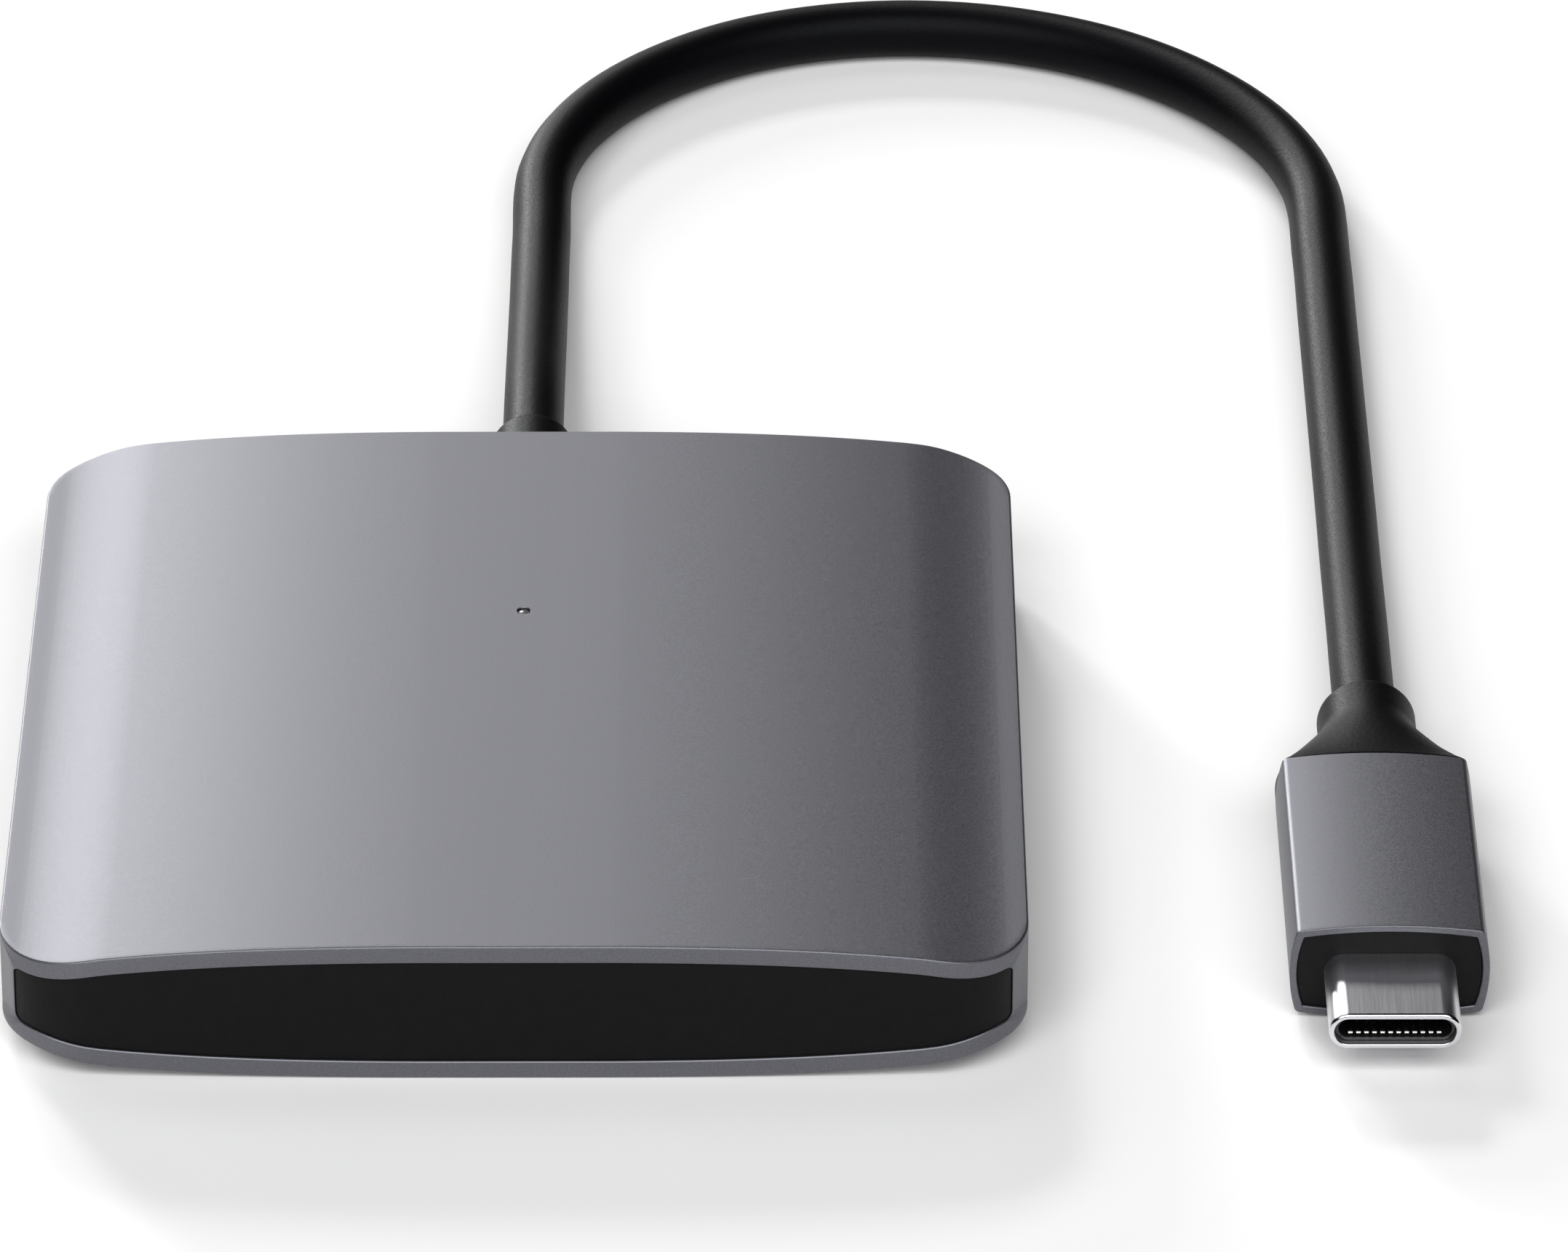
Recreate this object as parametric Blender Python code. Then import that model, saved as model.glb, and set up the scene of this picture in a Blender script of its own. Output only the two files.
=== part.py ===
"""Four-port USB-C hub with a fixed cable and plug.

Each physical piece is its own closed solid. Lengths below are in millimetres and become Blender's
metres when a mesh is made. +X is the hub's right side, +Y its rear, +Z up. The origin is the middle
of the underside of the hub's body.
"""

import math

import bmesh
import bpy
from mathutils import Vector

MM = 0.001
GAP = 0.3                  # clearance between pieces that touch on the real object

# Hub body: a lens-shaped extrusion along Y whose ends follow a rounded plan outline.
HUB_WIDTH = 64.0
HUB_DEPTH = 65.0
HUB_THICK = 9.6
PLAN_RADIUS = 5.8          # corner radius seen from above
FLAT_HALF = 6.0            # half width of the flat strip along the middle
DOME_HALF = 25.0           # half width where the dome ends and the shoulder starts
DOME_DROP = 0.863          # fall of the surface at the end of the dome
SHOULDER_HALF = 30.9       # half width where the shoulder ends
EDGE_DROP = 1.68           # fall of the surface at the end of the shoulder
EDGE_SLOPE = 0.02          # slope of the narrow strip outside the shoulder
WALL_TOP = 1.2
WALL_SIDE = 0.8
EDGE_ROUND = 0.15          # rounding of the long outer edges
MOUTH_ROUND = 0.5          # corner rounding of the sleeve's mouths
SECTION_STATIONS = (6.0, 10.0, 14.0, 18.0, 21.5, 23.6, 25.2, 26.6, 27.9, 29.0, 30.0, 30.9, 31.5, 31.85)
MID_Z = HUB_THICK / 2

# End covers
COVER_GAP = 0.2
COVER_RECESS = 0.15
COVER_PLATE = 1.5
SKIRT_WALL = 1.0
SKIRT_END = 4.6            # distance from the hub's end to the end of the cover's skirt

# Side sockets
PORT_Y = 10.0              # each side has one socket this far to the front and one to the rear
PORT_SLOT = (3.2, 9.0)     # height and width of the cut-out in the sleeve
SHELL_OUTER = (3.16, 8.94)
SHELL_WALL = 0.3
SHELL_DEPTH = 7.6
TONGUE_BASE = (1.7, 7.4)
TONGUE_BLADE = (0.7, 6.69)
TONGUE_STEP = 1.5          # length of the thicker foot of the tongue
TONGUE_TIP = 6.7
TONGUE_ROUNDS = (0.3, 0.2) # corner rounding of the foot and of the blade

# Board and tray
BOARD_BOTTOM = 3.7
BOARD_THICK = 1.0
BOARD_HALF_X = 29.8
BOARD_FRONT = -26.5
BOARD_REAR = 18.0
BOARD_CHAMFER = 2.0
TRAY_HALF_X = 22.2
TRAY_HALF_Y = 27.0
TRAY_BOTTOM = 2.05
TRAY_THICK = 0.8
TRAY_SLOT_HALF = 2.9       # half width of the slot under the cable's end
TRAY_SLOT_FRONT = 17.0
BOARD_SCREWS = ((-19.0, -22.0), (19.0, -22.0), (-19.0, 16.0), (19.0, 16.0))
CLAMP_SCREWS = ((-6.4, 23.0), (6.4, 23.0))
BOSS_RADIUS = 1.9
BOSS_HOLE = 0.8
BOSS_FLOOR = 2.35
SHANK_RADIUS = 0.5
HEAD_RADIUS = 1.3
HEAD_SIDE = 0.55           # height of a screw head's upright side
HEAD_HEIGHT = 0.85

# Parts on the board: size, place of the middle, material and the width of the chamfer round the top
CONTROLLER_SIZE = (8.0, 8.0, 0.85)
CONTROLLER_PLACE = (5.0, -6.0)
PAD_SIDE = 7.6
BOARD_PARTS = {
    "power_regulator_chip": ((4.0, 4.0, 0.8), (-12.0, -15.5), "chip", 0.12),
    "power_inductor": ((5.0, 5.0, 2.0), (-12.0, -8.5), "ferrite", 0.4),
    "config_memory_chip": ((5.0, 4.0, 1.2), (10.0, 6.0), "chip", 0.12),
    "clock_crystal": ((3.2, 2.5, 0.8), (-3.0, -4.0), "steel", 0.12),
    "bulk_capacitor_left": ((2.8, 3.5, 1.9), (-17.0, 0.0), "tantalum", 0.25),
    "bulk_capacitor_right": ((2.8, 3.5, 1.9), (17.0, 0.0), "tantalum", 0.25),
}
ESD_SIZE = (1.2, 2.6, 0.6)
ESD_X = 20.6               # distance from the middle to the small array behind each socket
LED_SIZE = (0.9, 1.6, 0.6)

# Indicator
LED_Y = 8.7
LED_HOLE_RADIUS = 0.4
PIPE_RADIUS = 1.4
PIPE_PIN_RADIUS = 0.28
PIPE_TIP_DEPTH = 0.12      # depth of the pin's tip below the hub's top
PIPE_DOME = 0.15

# Cable, gland and the cable's end inside the hub
CABLE_RADIUS = 2.05
BORE_RADIUS = CABLE_RADIUS + GAP
GLAND_RADIUS = 2.8
GLAND_END = 38.5
GLAND_FLANGE = (29.0, 30.2)
GLAND_FLANGE_RADIUS = 3.2
CABLE_Z = MID_Z
TAIL_START = 20.8
CLAMP_Y = (21.0, 25.0)
CLAMP_HALF_X = 8.5
CLAMP_ARCH_HALF_X = 4.2    # half width of the raised middle at its foot
CLAMP_SHOULDER = 5.0       # height of the seats for the clamp's screws
CLAMP_TOP = 8.1
CRIMP_Y = (25.6, 27.8)
CRIMP_WALL = 0.6
LEAD_RADIUS = 0.35
LEAD_SPREAD = 3.0          # how far the leads fan out, as a factor of their spacing in the cable
LEAD_LENGTHS = (0.0, 1.2, 3.2, 5.2, 6.6)

# The cable's centre line from the gland, round one loop, to the plug's strain relief.
CABLE_ROUTE = (
    (0.0, 38.8, 4.80),
    (0.0, 46.0, 4.60),
    (0.0, 54.0, 3.75),
    (0.0, 63.6, 2.75),
    (0.0, 73.0, 2.20),
    (0.2, 83.2, 2.10),
    (2.6, 91.1, 2.10),
    (7.3, 97.9, 2.10),
    (14.2, 103.1, 2.10),
    (22.6, 105.7, 2.10),
    (31.4, 105.4, 2.10),
    (39.9, 102.2, 2.10),
    (47.0, 96.5, 2.10),
    (52.0, 89.1, 2.10),
    (54.5, 80.7, 2.10),
    (54.8, 70.4, 2.10),
    (54.8, 61.6, 2.10),
    (54.8, 52.8, 2.10),
    (54.8, 44.1, 2.10),
    (54.8, 35.2, 2.12),
    (54.75, 27.4, 2.40),
    (54.7, 17.5, 3.00),
    (54.65, 11.0, 3.32),
    (54.65, 5.2, 3.40),
)
CABLE_STEP = 9.0           # spacing of the tube's points along the route

# Plug: section sizes are half widths and half heights from its centre line.
PLUG_X = 54.65
PLUG_Z = 3.40
PLUG_CORNER = (5.84, 2.96)
PLUG_MIDDLE = (6.26, 3.38) # the sides and the top bow out to this in their middles
PLUG_ROUND = 0.4
PLUG_WALL = 0.45
SLEEVE_FRONT = -25.6
SLEEVE_REAR = -4.6
INSERT_FRONT = -25.4
INSERT_REAR = -12.2
PLUG_TIP = -32.6
PLUG_SHELL = (8.25, 2.5)
PLUG_SHELL_WALL = 0.28
PLUG_SHELL_REAR = -20.2
RELIEF_END = 4.9
RELIEF_RADIUS = 3.2
RELIEF_EDGE = 0.35
RELIEF_NECK = (-3.6, 2.4)  # where the neck between the sleeve and the collar starts and ends
RELIEF_OVAL = -1.0         # where the section has become an ellipse
RELIEF_STATIONS = (-4.3, -3.5, -2.7, -1.9, -1.1, -0.3, 0.5, 1.4, 2.4)
RELIEF_SPIGOT = -8.7

# The plug's core. Lengths along the plug are distances from the origin towards the tip.
CONTACT_COUNT = 12
CONTACT_PITCH = 0.5
CONTACT_WIDTH = 0.26
CONTACT_LEVEL = 0.6        # distance of each row of contacts from the plug's middle plane
CONTACT_HALF_THICK = 0.07
COMB_START = 25.9
FINGER_START = 26.5
FINGER_TIP = 30.6
CARRIER_SIZE = (5.6, 1.3)
CARRIER_ENDS = (21.8, 25.6)
LATCH_ARM = ((3.5, 20.6), (3.5, 28.8), (3.3, 29.2), (2.9, 28.6), (3.15, 28.0), (3.15, 21.3))
LATCH_HALF_THICK = 0.08
PLUG_BOARD_HALF = (3.9, 0.4)
PLUG_BOARD_ENDS = (12.6, 19.9)
MARKER_HALF_WIDTH = 1.4
MARKER_LEVELS = (0.7, 1.2)
MARKER_ENDS = (14.8, 17.6)
FERRULE_WALL = 0.3
FERRULE_ENDS = (9.2, 11.6)


# ---------------------------------------------------------------- materials

def make_material(name, colour, roughness, metallic=0.0):
    material = bpy.data.materials.new(name)
    material.use_nodes = True
    shader = material.node_tree.nodes["Principled BSDF"]
    shader.inputs["Base Color"].default_value = (*colour, 1.0)
    shader.inputs["Roughness"].default_value = roughness
    shader.inputs["Metallic"].default_value = metallic
    return material


def make_materials():
    return {
        "aluminium": make_material("grey_anodised_aluminium", (0.30, 0.30, 0.32), 0.42, 1.0),
        "cover": make_material("black_plastic", (0.012, 0.012, 0.013), 0.5),
        "tray": make_material("dark_plastic", (0.03, 0.03, 0.032), 0.6),
        "jacket": make_material("black_cable_jacket", (0.015, 0.015, 0.016), 0.45),
        "board": make_material("green_circuit_board", (0.02, 0.10, 0.05), 0.5),
        "chip": make_material("black_chip_resin", (0.02, 0.02, 0.02), 0.55),
        "steel": make_material("bright_steel", (0.62, 0.62, 0.63), 0.2, 1.0),
        "gold": make_material("gold_contacts", (0.75, 0.55, 0.22), 0.25, 1.0),
        "clear": make_material("clear_lens", (0.85, 0.88, 0.90), 0.08),
        "pad": make_material("grey_silicone_pad", (0.30, 0.33, 0.38), 0.8),
        "ferrite": make_material("ferrite", (0.10, 0.10, 0.11), 0.6),
        "tantalum": make_material("ochre_capacitor", (0.55, 0.38, 0.10), 0.5),
        "red_wire": make_material("red_insulation", (0.45, 0.03, 0.02), 0.5),
        "white_wire": make_material("white_insulation", (0.75, 0.75, 0.72), 0.5),
    }


# ---------------------------------------------------------------- mesh helpers

def add_object(name, data, material, location=(0, 0, 0), rotation=(0, 0, 0)):
    obj = bpy.data.objects.new(name, data)
    obj.location = Vector(location) * MM
    obj.rotation_euler = rotation
    if material:
        data.materials.append(material)
    bpy.context.scene.collection.objects.link(obj)
    return obj


def add_mesh(name, vertices, faces, material, location=(0, 0, 0), rotation=(0, 0, 0), smooth=None):
    """Makes a mesh object from points in millimetres, with its faces turned outwards."""
    mesh = bpy.data.meshes.new(name)
    mesh.from_pydata([Vector(point) * MM for point in vertices], [], faces)
    shape = bmesh.new()
    shape.from_mesh(mesh)
    bmesh.ops.recalc_face_normals(shape, faces=shape.faces)
    shape.to_mesh(mesh)
    shape.free()
    if smooth is not None:
        mesh.shade_smooth()
        mesh.set_sharp_from_angle(angle=math.radians(smooth))
    return add_object(name, mesh, material, location, rotation)


def loft(name, rings, material, ring_closed=False, **placing):
    """Joins rings of equally many points. The ends are capped, or the last ring meets the first."""
    count = len(rings[0])
    vertices = [point for ring in rings for point in ring]
    faces = []
    spans = len(rings) if ring_closed else len(rings) - 1
    for level in range(spans):
        below = level * count
        above = ((level + 1) % len(rings)) * count
        for i in range(count):
            j = (i + 1) % count
            faces.append((below + i, below + j, above + j, above + i))
    if not ring_closed:
        last = (len(rings) - 1) * count
        faces.append(tuple(reversed(range(count))))
        faces.append(tuple(range(last, last + count)))
    return add_mesh(name, vertices, faces, material, **placing)


def prism(name, outline, low, high, material, **placing):
    """Extrudes an outline in X and Y from z = low to z = high."""
    rings = [[(x, y, z) for x, y in outline] for z in (low, high)]
    return loft(name, rings, material, **placing)


def circle(radius, segments=16):
    step = 2 * math.pi / segments
    return [(radius * math.cos(i * step), radius * math.sin(i * step)) for i in range(segments)]


def rounded_outline(width, height, radius, steps=4):
    """A rectangle with round corners, centred on the origin, anticlockwise."""
    points = []
    corners = ((1, 1, 0), (-1, 1, 90), (-1, -1, 180), (1, -1, 270))
    for side_x, side_y, start in corners:
        centre_x = side_x * (width / 2 - radius)
        centre_y = side_y * (height / 2 - radius)
        for step in range(steps + 1):
            angle = math.radians(start + 90 * step / steps)
            points.append((centre_x + radius * math.cos(angle), centre_y + radius * math.sin(angle)))
    return points


def turned(name, profile, material, segments=20, bored=False, **placing):
    """Turns (radius, z) points about Z. A bored piece's profile is a closed loop."""
    rings = [[(x, y, z) for x, y in circle(radius, segments)] for radius, z in profile]
    placing.setdefault("smooth", 40)
    return loft(name, rings, material, ring_closed=bored, **placing)


def block(name, size, base, material, bevel=0.12):
    """A moulded block with a narrow chamfer round its top, standing on the point base."""
    half_x, half_y, height = size[0] / 2, size[1] / 2, size[2]
    rings = []
    for inset, z in ((0, 0), (0, height - bevel), (bevel, height)):
        x, y = half_x - inset, half_y - inset
        rings.append([(-x, -y, z), (x, -y, z), (x, y, z), (-x, y, z)])
    return loft(name, rings, material, location=base)


def add_boolean(target, other, operation):
    """Adds or removes another object's volume, which itself is only a guide."""
    other.hide_render = True
    other.display_type = "WIRE"
    modifier = target.modifiers.new(other.name, "BOOLEAN")
    modifier.operation = operation
    modifier.solver = "EXACT"
    modifier.object = other


def many_prisms(name, outline, places, low, high):
    """One guide object that holds the same prism at several places."""
    vertices = []
    faces = []
    count = len(outline)
    for place_x, place_y in places:
        start = len(vertices)
        for z in (low, high):
            vertices += [(place_x + x, place_y + y, z) for x, y in outline]
        faces.append(tuple(start + i for i in reversed(range(count))))
        faces.append(tuple(start + count + i for i in range(count)))
        for i in range(count):
            j = (i + 1) % count
            faces.append((start + i, start + j, start + count + j, start + count + i))
    return add_mesh(name, vertices, faces, None)


def smooth_between(t, start, end, start_slope, end_slope):
    """A cubic from start to end for t from 0 to 1, with the slopes given at both ends."""
    rise = t * t * (3 - 2 * t)
    return start + (end - start) * rise + start_slope * t * (1 - t) ** 2 - end_slope * t * t * (1 - t)


def spline_through(points, step):
    """Points about step apart on a Catmull-Rom curve through the given points."""
    points = [Vector(point) for point in points]
    padded = [2 * points[0] - points[1], *points, 2 * points[-1] - points[-2]]
    fine = []
    samples = 24
    for k in range(1, len(padded) - 2):
        p0, p1, p2, p3 = padded[k - 1:k + 3]
        for i in range(samples):
            t = i / samples
            fine.append(0.5 * (2 * p1 + (p2 - p0) * t + (2 * p0 - 5 * p1 + 4 * p2 - p3) * t * t
                               + (3 * p1 - p0 - 3 * p2 + p3) * t ** 3))
    fine.append(points[-1])
    travel = [0.0]
    for a, b in zip(fine, fine[1:]):
        travel.append(travel[-1] + (b - a).length)
    count = max(2, round(travel[-1] / step))
    result = []
    k = 0
    for n in range(count + 1):
        wanted = travel[-1] * n / count
        while k < len(fine) - 2 and travel[k + 1] < wanted:
            k += 1
        part = (wanted - travel[k]) / (travel[k + 1] - travel[k])
        result.append(fine[k].lerp(fine[k + 1], min(part, 1.0)))
    return result


def tube(name, points, radius, resolution, material):
    """A round tube with closed ends along a smooth line."""
    data = bpy.data.curves.new(name, "CURVE")
    data.dimensions = "3D"
    data.bevel_depth = radius * MM
    data.bevel_resolution = resolution
    data.use_fill_caps = True
    spline = data.splines.new("POLY")
    spline.points.add(len(points) - 1)
    for spline_point, place in zip(spline.points, points):
        spline_point.co = (*(place * MM), 1.0)
    return add_object(name, data, material)


# ---------------------------------------------------------------- the hub's section

def surface_drop(x):
    """How far the top surface has fallen at distance x from the middle."""
    x = abs(x)
    if x <= FLAT_HALF:
        return 0.0
    if x <= DOME_HALF:
        return DOME_DROP * (x ** 3 - FLAT_HALF ** 3) / (DOME_HALF ** 3 - FLAT_HALF ** 3)
    if x <= SHOULDER_HALF:
        run = SHOULDER_HALF - DOME_HALF
        dome_slope = 3 * DOME_DROP * DOME_HALF ** 2 / (DOME_HALF ** 3 - FLAT_HALF ** 3)
        t = (x - DOME_HALF) / run
        return smooth_between(t, DOME_DROP, EDGE_DROP, dome_slope * run, EDGE_SLOPE * run)
    return EDGE_DROP + EDGE_SLOPE * (x - SHOULDER_HALF)


def plan_inset(x):
    """How far the hub's end lies inside its full depth at distance x from the middle."""
    past = min(max(abs(x) - (HUB_WIDTH / 2 - PLAN_RADIUS), 0.0), PLAN_RADIUS)
    return PLAN_RADIUS - math.sqrt(PLAN_RADIUS ** 2 - past ** 2)


def section_chain(side_inset, top_inset, rounding):
    """Left to right: pairs of x and half height of the section, inset from the outer surface."""
    limit = HUB_WIDTH / 2 - side_inset
    scale = (limit - rounding) / SECTION_STATIONS[-1]
    right = []
    for station in SECTION_STATIONS:
        x = station * scale
        right.append((x, MID_Z - top_inset - surface_drop(x)))
    edge_x, edge_half = right[-1]
    for degrees in (45, 90):
        angle = math.radians(degrees)
        right.append((edge_x + rounding * math.sin(angle), edge_half - rounding * (1 - math.cos(angle))))
    left = [(-x, half) for x, half in reversed(right)]
    return left + right


def chain_ring(chain, y_of_x):
    """The closed ring of a chain: the top from left to right, then the bottom from right to left."""
    top = [(x, y_of_x(x), MID_Z + half) for x, half in chain]
    bottom = [(x, y_of_x(x), MID_Z - half) for x, half in reversed(chain)]
    return top + bottom


def front_line(depth):
    """The hub's front outline, moved back by depth."""
    return lambda x: -HUB_DEPTH / 2 + plan_inset(x) + depth


def strip_cap(ring_start, count):
    """Faces that close a ring from its top chain to its bottom chain."""
    last = 2 * count - 1
    faces = []
    for i in range(count - 1):
        faces.append((ring_start + i, ring_start + i + 1, ring_start + last - i - 1, ring_start + last - i))
    return faces


def ring_walls(ring_count, points, closed):
    faces = []
    for level in range(ring_count if closed else ring_count - 1):
        below = level * points
        above = ((level + 1) % ring_count) * points
        for i in range(points):
            j = (i + 1) % points
            faces.append((below + i, below + j, above + j, above + i))
    return faces


# ---------------------------------------------------------------- hub casing

def build_housing_sleeve(materials):
    outer = section_chain(0.0, 0.0, EDGE_ROUND)
    inner = section_chain(WALL_SIDE, WALL_TOP, MOUTH_ROUND)
    front = front_line(0.0)
    rings = [
        chain_ring(outer, front),
        chain_ring(outer, lambda x: -front(x)),
        chain_ring(inner, lambda x: -front(x)),
        chain_ring(inner, front),
    ]
    vertices = [point for ring in rings for point in ring]
    faces = ring_walls(len(rings), len(rings[0]), True)
    sleeve = add_mesh("housing_sleeve", vertices, faces, materials["aluminium"], smooth=30)
    slot = rounded_outline(*PORT_SLOT, PORT_SLOT[0] / 2 - 0.02, 6)
    for side, word in ((-1, "left"), (1, "right")):
        for end, place in ((-1, "front"), (1, "rear")):
            cutter = prism(f"cut_port_{word}_{place}", slot, -1.6, 1.6, None,
                           location=(side * (HUB_WIDTH / 2 - WALL_SIDE / 2), end * PORT_Y, MID_Z),
                           rotation=(0, math.pi / 2, 0))
            add_boolean(sleeve, cutter, "DIFFERENCE")
    hole = prism("cut_led_hole", circle(LED_HOLE_RADIUS), -1.4, 1.4, None,
                 location=(0, LED_Y, HUB_THICK - WALL_TOP / 2))
    add_boolean(sleeve, hole, "DIFFERENCE")


def build_cover(name, materials, rotation):
    """A plate that fills one mouth of the sleeve, with a short skirt behind it."""
    outer = section_chain(WALL_SIDE + COVER_GAP, WALL_TOP + COVER_GAP, MOUTH_ROUND - COVER_GAP / 2)
    inset = COVER_GAP + SKIRT_WALL
    inner = section_chain(WALL_SIDE + inset, WALL_TOP + inset, MOUTH_ROUND / 2)
    skirt = -HUB_DEPTH / 2 + SKIRT_END
    rings = [
        chain_ring(outer, front_line(COVER_RECESS)),
        chain_ring(outer, lambda x: skirt),
        chain_ring(inner, lambda x: skirt),
        chain_ring(inner, front_line(COVER_RECESS + COVER_PLATE)),
    ]
    points = len(rings[0])
    vertices = [point for ring in rings for point in ring]
    faces = ring_walls(len(rings), points, False)
    faces += strip_cap(0, len(outer))
    faces += strip_cap(3 * points, len(inner))
    return add_mesh(name, vertices, faces, materials["cover"], rotation=rotation, smooth=30)


def build_covers(materials):
    build_cover("front_cover", materials, (0, 0, 0))
    rear = build_cover("rear_cover", materials, (0, 0, math.pi))
    along_y = (-math.pi / 2, 0, 0)
    bore = prism("cut_gland_bore", circle(GLAND_RADIUS + GAP, 24), 0, 10, None,
                 location=(0, GLAND_FLANGE[0], CABLE_Z), rotation=along_y)
    pocket_depth = HUB_DEPTH / 2 - COVER_RECESS - COVER_PLATE + 0.05 - 25.0
    pocket = prism("cut_gland_pocket", circle(GLAND_FLANGE_RADIUS + 0.45, 24), 0, pocket_depth, None,
                   location=(0, 25.0, CABLE_Z), rotation=along_y)
    add_boolean(rear, bore, "DIFFERENCE")
    add_boolean(rear, pocket, "DIFFERENCE")


# ---------------------------------------------------------------- tray, board and what it carries

def build_inner_tray(materials):
    x, y = TRAY_HALF_X, TRAY_HALF_Y
    slot = TRAY_SLOT_HALF
    outline = [(-x, -y + 2), (-x + 2, -y), (x - 2, -y), (x, -y + 2), (x, y - 2), (x - 2, y),
               (slot, y), (slot, TRAY_SLOT_FRONT), (-slot, TRAY_SLOT_FRONT), (-slot, y),
               (-x + 2, y), (-x, y - 2)]
    tray = prism("inner_tray", outline, TRAY_BOTTOM, TRAY_BOTTOM + TRAY_THICK, materials["tray"])
    places = BOARD_SCREWS + CLAMP_SCREWS
    top = BOARD_BOTTOM - GAP
    bosses = many_prisms("add_tray_bosses", circle(BOSS_RADIUS), places, TRAY_BOTTOM + 0.3, top)
    holes = many_prisms("cut_tray_bosses", circle(BOSS_HOLE, 12), places, BOSS_FLOOR, top + 1)
    add_boolean(tray, bosses, "UNION")
    add_boolean(tray, holes, "DIFFERENCE")


def build_main_board(materials):
    half, corner = BOARD_HALF_X, BOARD_CHAMFER
    notch_x = HUB_WIDTH / 2 - WALL_SIDE - GAP - SHELL_DEPTH - GAP
    notch_half = SHELL_OUTER[1] / 2 + GAP
    right = [(half - corner, BOARD_FRONT), (half, BOARD_FRONT + corner)]
    for end in (-1, 1):
        low, high = end * PORT_Y - notch_half, end * PORT_Y + notch_half
        right += [(half, low), (notch_x, low), (notch_x, high), (half, high)]
    right += [(half, BOARD_REAR - corner), (half - corner, BOARD_REAR)]
    left = [(-x, y) for x, y in reversed(right)]
    board = prism("main_board", right + left, BOARD_BOTTOM, BOARD_BOTTOM + BOARD_THICK, materials["board"])
    holes = many_prisms("cut_board_holes", circle(SHANK_RADIUS + 0.35, 12), BOARD_SCREWS,
                        BOARD_BOTTOM - 1, BOARD_BOTTOM + BOARD_THICK + 1)
    add_boolean(board, holes, "DIFFERENCE")


def build_screw(name, place, head_z, shank_end, materials):
    """A pan-head screw with a round drive recess."""
    length = head_z - shank_end
    profile = [
        (SHANK_RADIUS * 0.6, -length),
        (SHANK_RADIUS, -length + 0.25),
        (SHANK_RADIUS, 0.0),
        (HEAD_RADIUS, 0.0),
        (HEAD_RADIUS, HEAD_SIDE),
        (HEAD_RADIUS * 0.75, HEAD_HEIGHT),
        (HEAD_RADIUS * 0.45, HEAD_HEIGHT),
        (HEAD_RADIUS * 0.40, HEAD_HEIGHT / 2),
    ]
    turned(name, profile, materials["steel"], segments=12, location=(*place, head_z))


def build_screws(materials):
    head_z = BOARD_BOTTOM + BOARD_THICK + GAP
    for number, place in enumerate(BOARD_SCREWS, start=1):
        build_screw(f"board_screw_{number}", place, head_z, BOSS_FLOOR + GAP, materials)
    for number, place in enumerate(CLAMP_SCREWS, start=1):
        build_screw(f"clamp_screw_{number}", place, CLAMP_SHOULDER + GAP, BOSS_FLOOR + GAP, materials)


def build_board_parts(materials):
    z = BOARD_BOTTOM + BOARD_THICK + GAP
    chip = materials["chip"]
    middle_x, middle_y = CONTROLLER_PLACE
    block("hub_controller_chip", CONTROLLER_SIZE, (middle_x, middle_y, z), chip)
    pad_z = z + CONTROLLER_SIZE[2] + GAP
    pad_height = HUB_THICK - WALL_TOP - surface_drop(middle_x + PAD_SIDE / 2) - GAP - pad_z
    pad_size = (PAD_SIDE, PAD_SIDE, pad_height)
    block("thermal_pad", pad_size, (middle_x, middle_y, pad_z), materials["pad"], bevel=0.05)
    for name, (size, (x, y), material, bevel) in BOARD_PARTS.items():
        block(name, size, (x, y, z), materials[material], bevel)
    for side, word in ((-1, "left"), (1, "right")):
        for end, place in ((-1, "front"), (1, "rear")):
            block(f"esd_array_{word}_{place}", ESD_SIZE, (side * ESD_X, end * PORT_Y, z), chip)
    block("status_led", LED_SIZE, (0.0, LED_Y, z), materials["clear"])


def build_light_pipe(materials):
    """A clear foot over the indicator lamp, with a thin domed pin that fills the hole above."""
    foot = BOARD_BOTTOM + BOARD_THICK + GAP + LED_SIZE[2] + GAP
    shoulder = HUB_THICK - WALL_TOP - GAP
    tip = HUB_THICK - PIPE_TIP_DEPTH
    pin = PIPE_PIN_RADIUS
    profile = [(PIPE_RADIUS, foot), (PIPE_RADIUS, shoulder), (pin, shoulder),
               (pin, tip - PIPE_DOME), (pin * 0.8, tip - PIPE_DOME * 0.4), (pin * 0.4, tip)]
    turned("led_light_pipe", profile, materials["clear"], segments=12, location=(0, LED_Y, 0))


def build_port(word, place, side, end, materials):
    """One socket: a drawn shell, open at its mouth, and the tongue inside it."""
    back_x = HUB_WIDTH / 2 - WALL_SIDE - GAP - SHELL_DEPTH
    placing = {"location": (side * back_x, end * PORT_Y, MID_Z), "rotation": (0, side * math.pi / 2, 0)}
    outer = rounded_outline(*SHELL_OUTER, SHELL_OUTER[0] / 2 - 0.1, 4)
    inner_size = (SHELL_OUTER[0] - 2 * SHELL_WALL, SHELL_OUTER[1] - 2 * SHELL_WALL)
    inner = rounded_outline(*inner_size, SHELL_OUTER[0] / 2 - 0.1 - SHELL_WALL, 4)
    levels = ((outer, 0.0), (outer, SHELL_DEPTH), (inner, SHELL_DEPTH), (inner, SHELL_WALL))
    rings = [[(x, y, z) for x, y in outline] for outline, z in levels]
    loft(f"port_shell_{word}_{place}", rings, materials["steel"], smooth=50, **placing)
    base = rounded_outline(*TONGUE_BASE, TONGUE_ROUNDS[0], 1)
    blade = rounded_outline(*TONGUE_BLADE, TONGUE_ROUNDS[1], 1)
    foot = SHELL_WALL + GAP
    levels = ((base, foot), (base, foot + TONGUE_STEP), (blade, foot + TONGUE_STEP), (blade, TONGUE_TIP))
    rings = [[(x, y, z) for x, y in outline] for outline, z in levels]
    loft(f"port_tongue_{word}_{place}", rings, materials["tray"], **placing)


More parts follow.
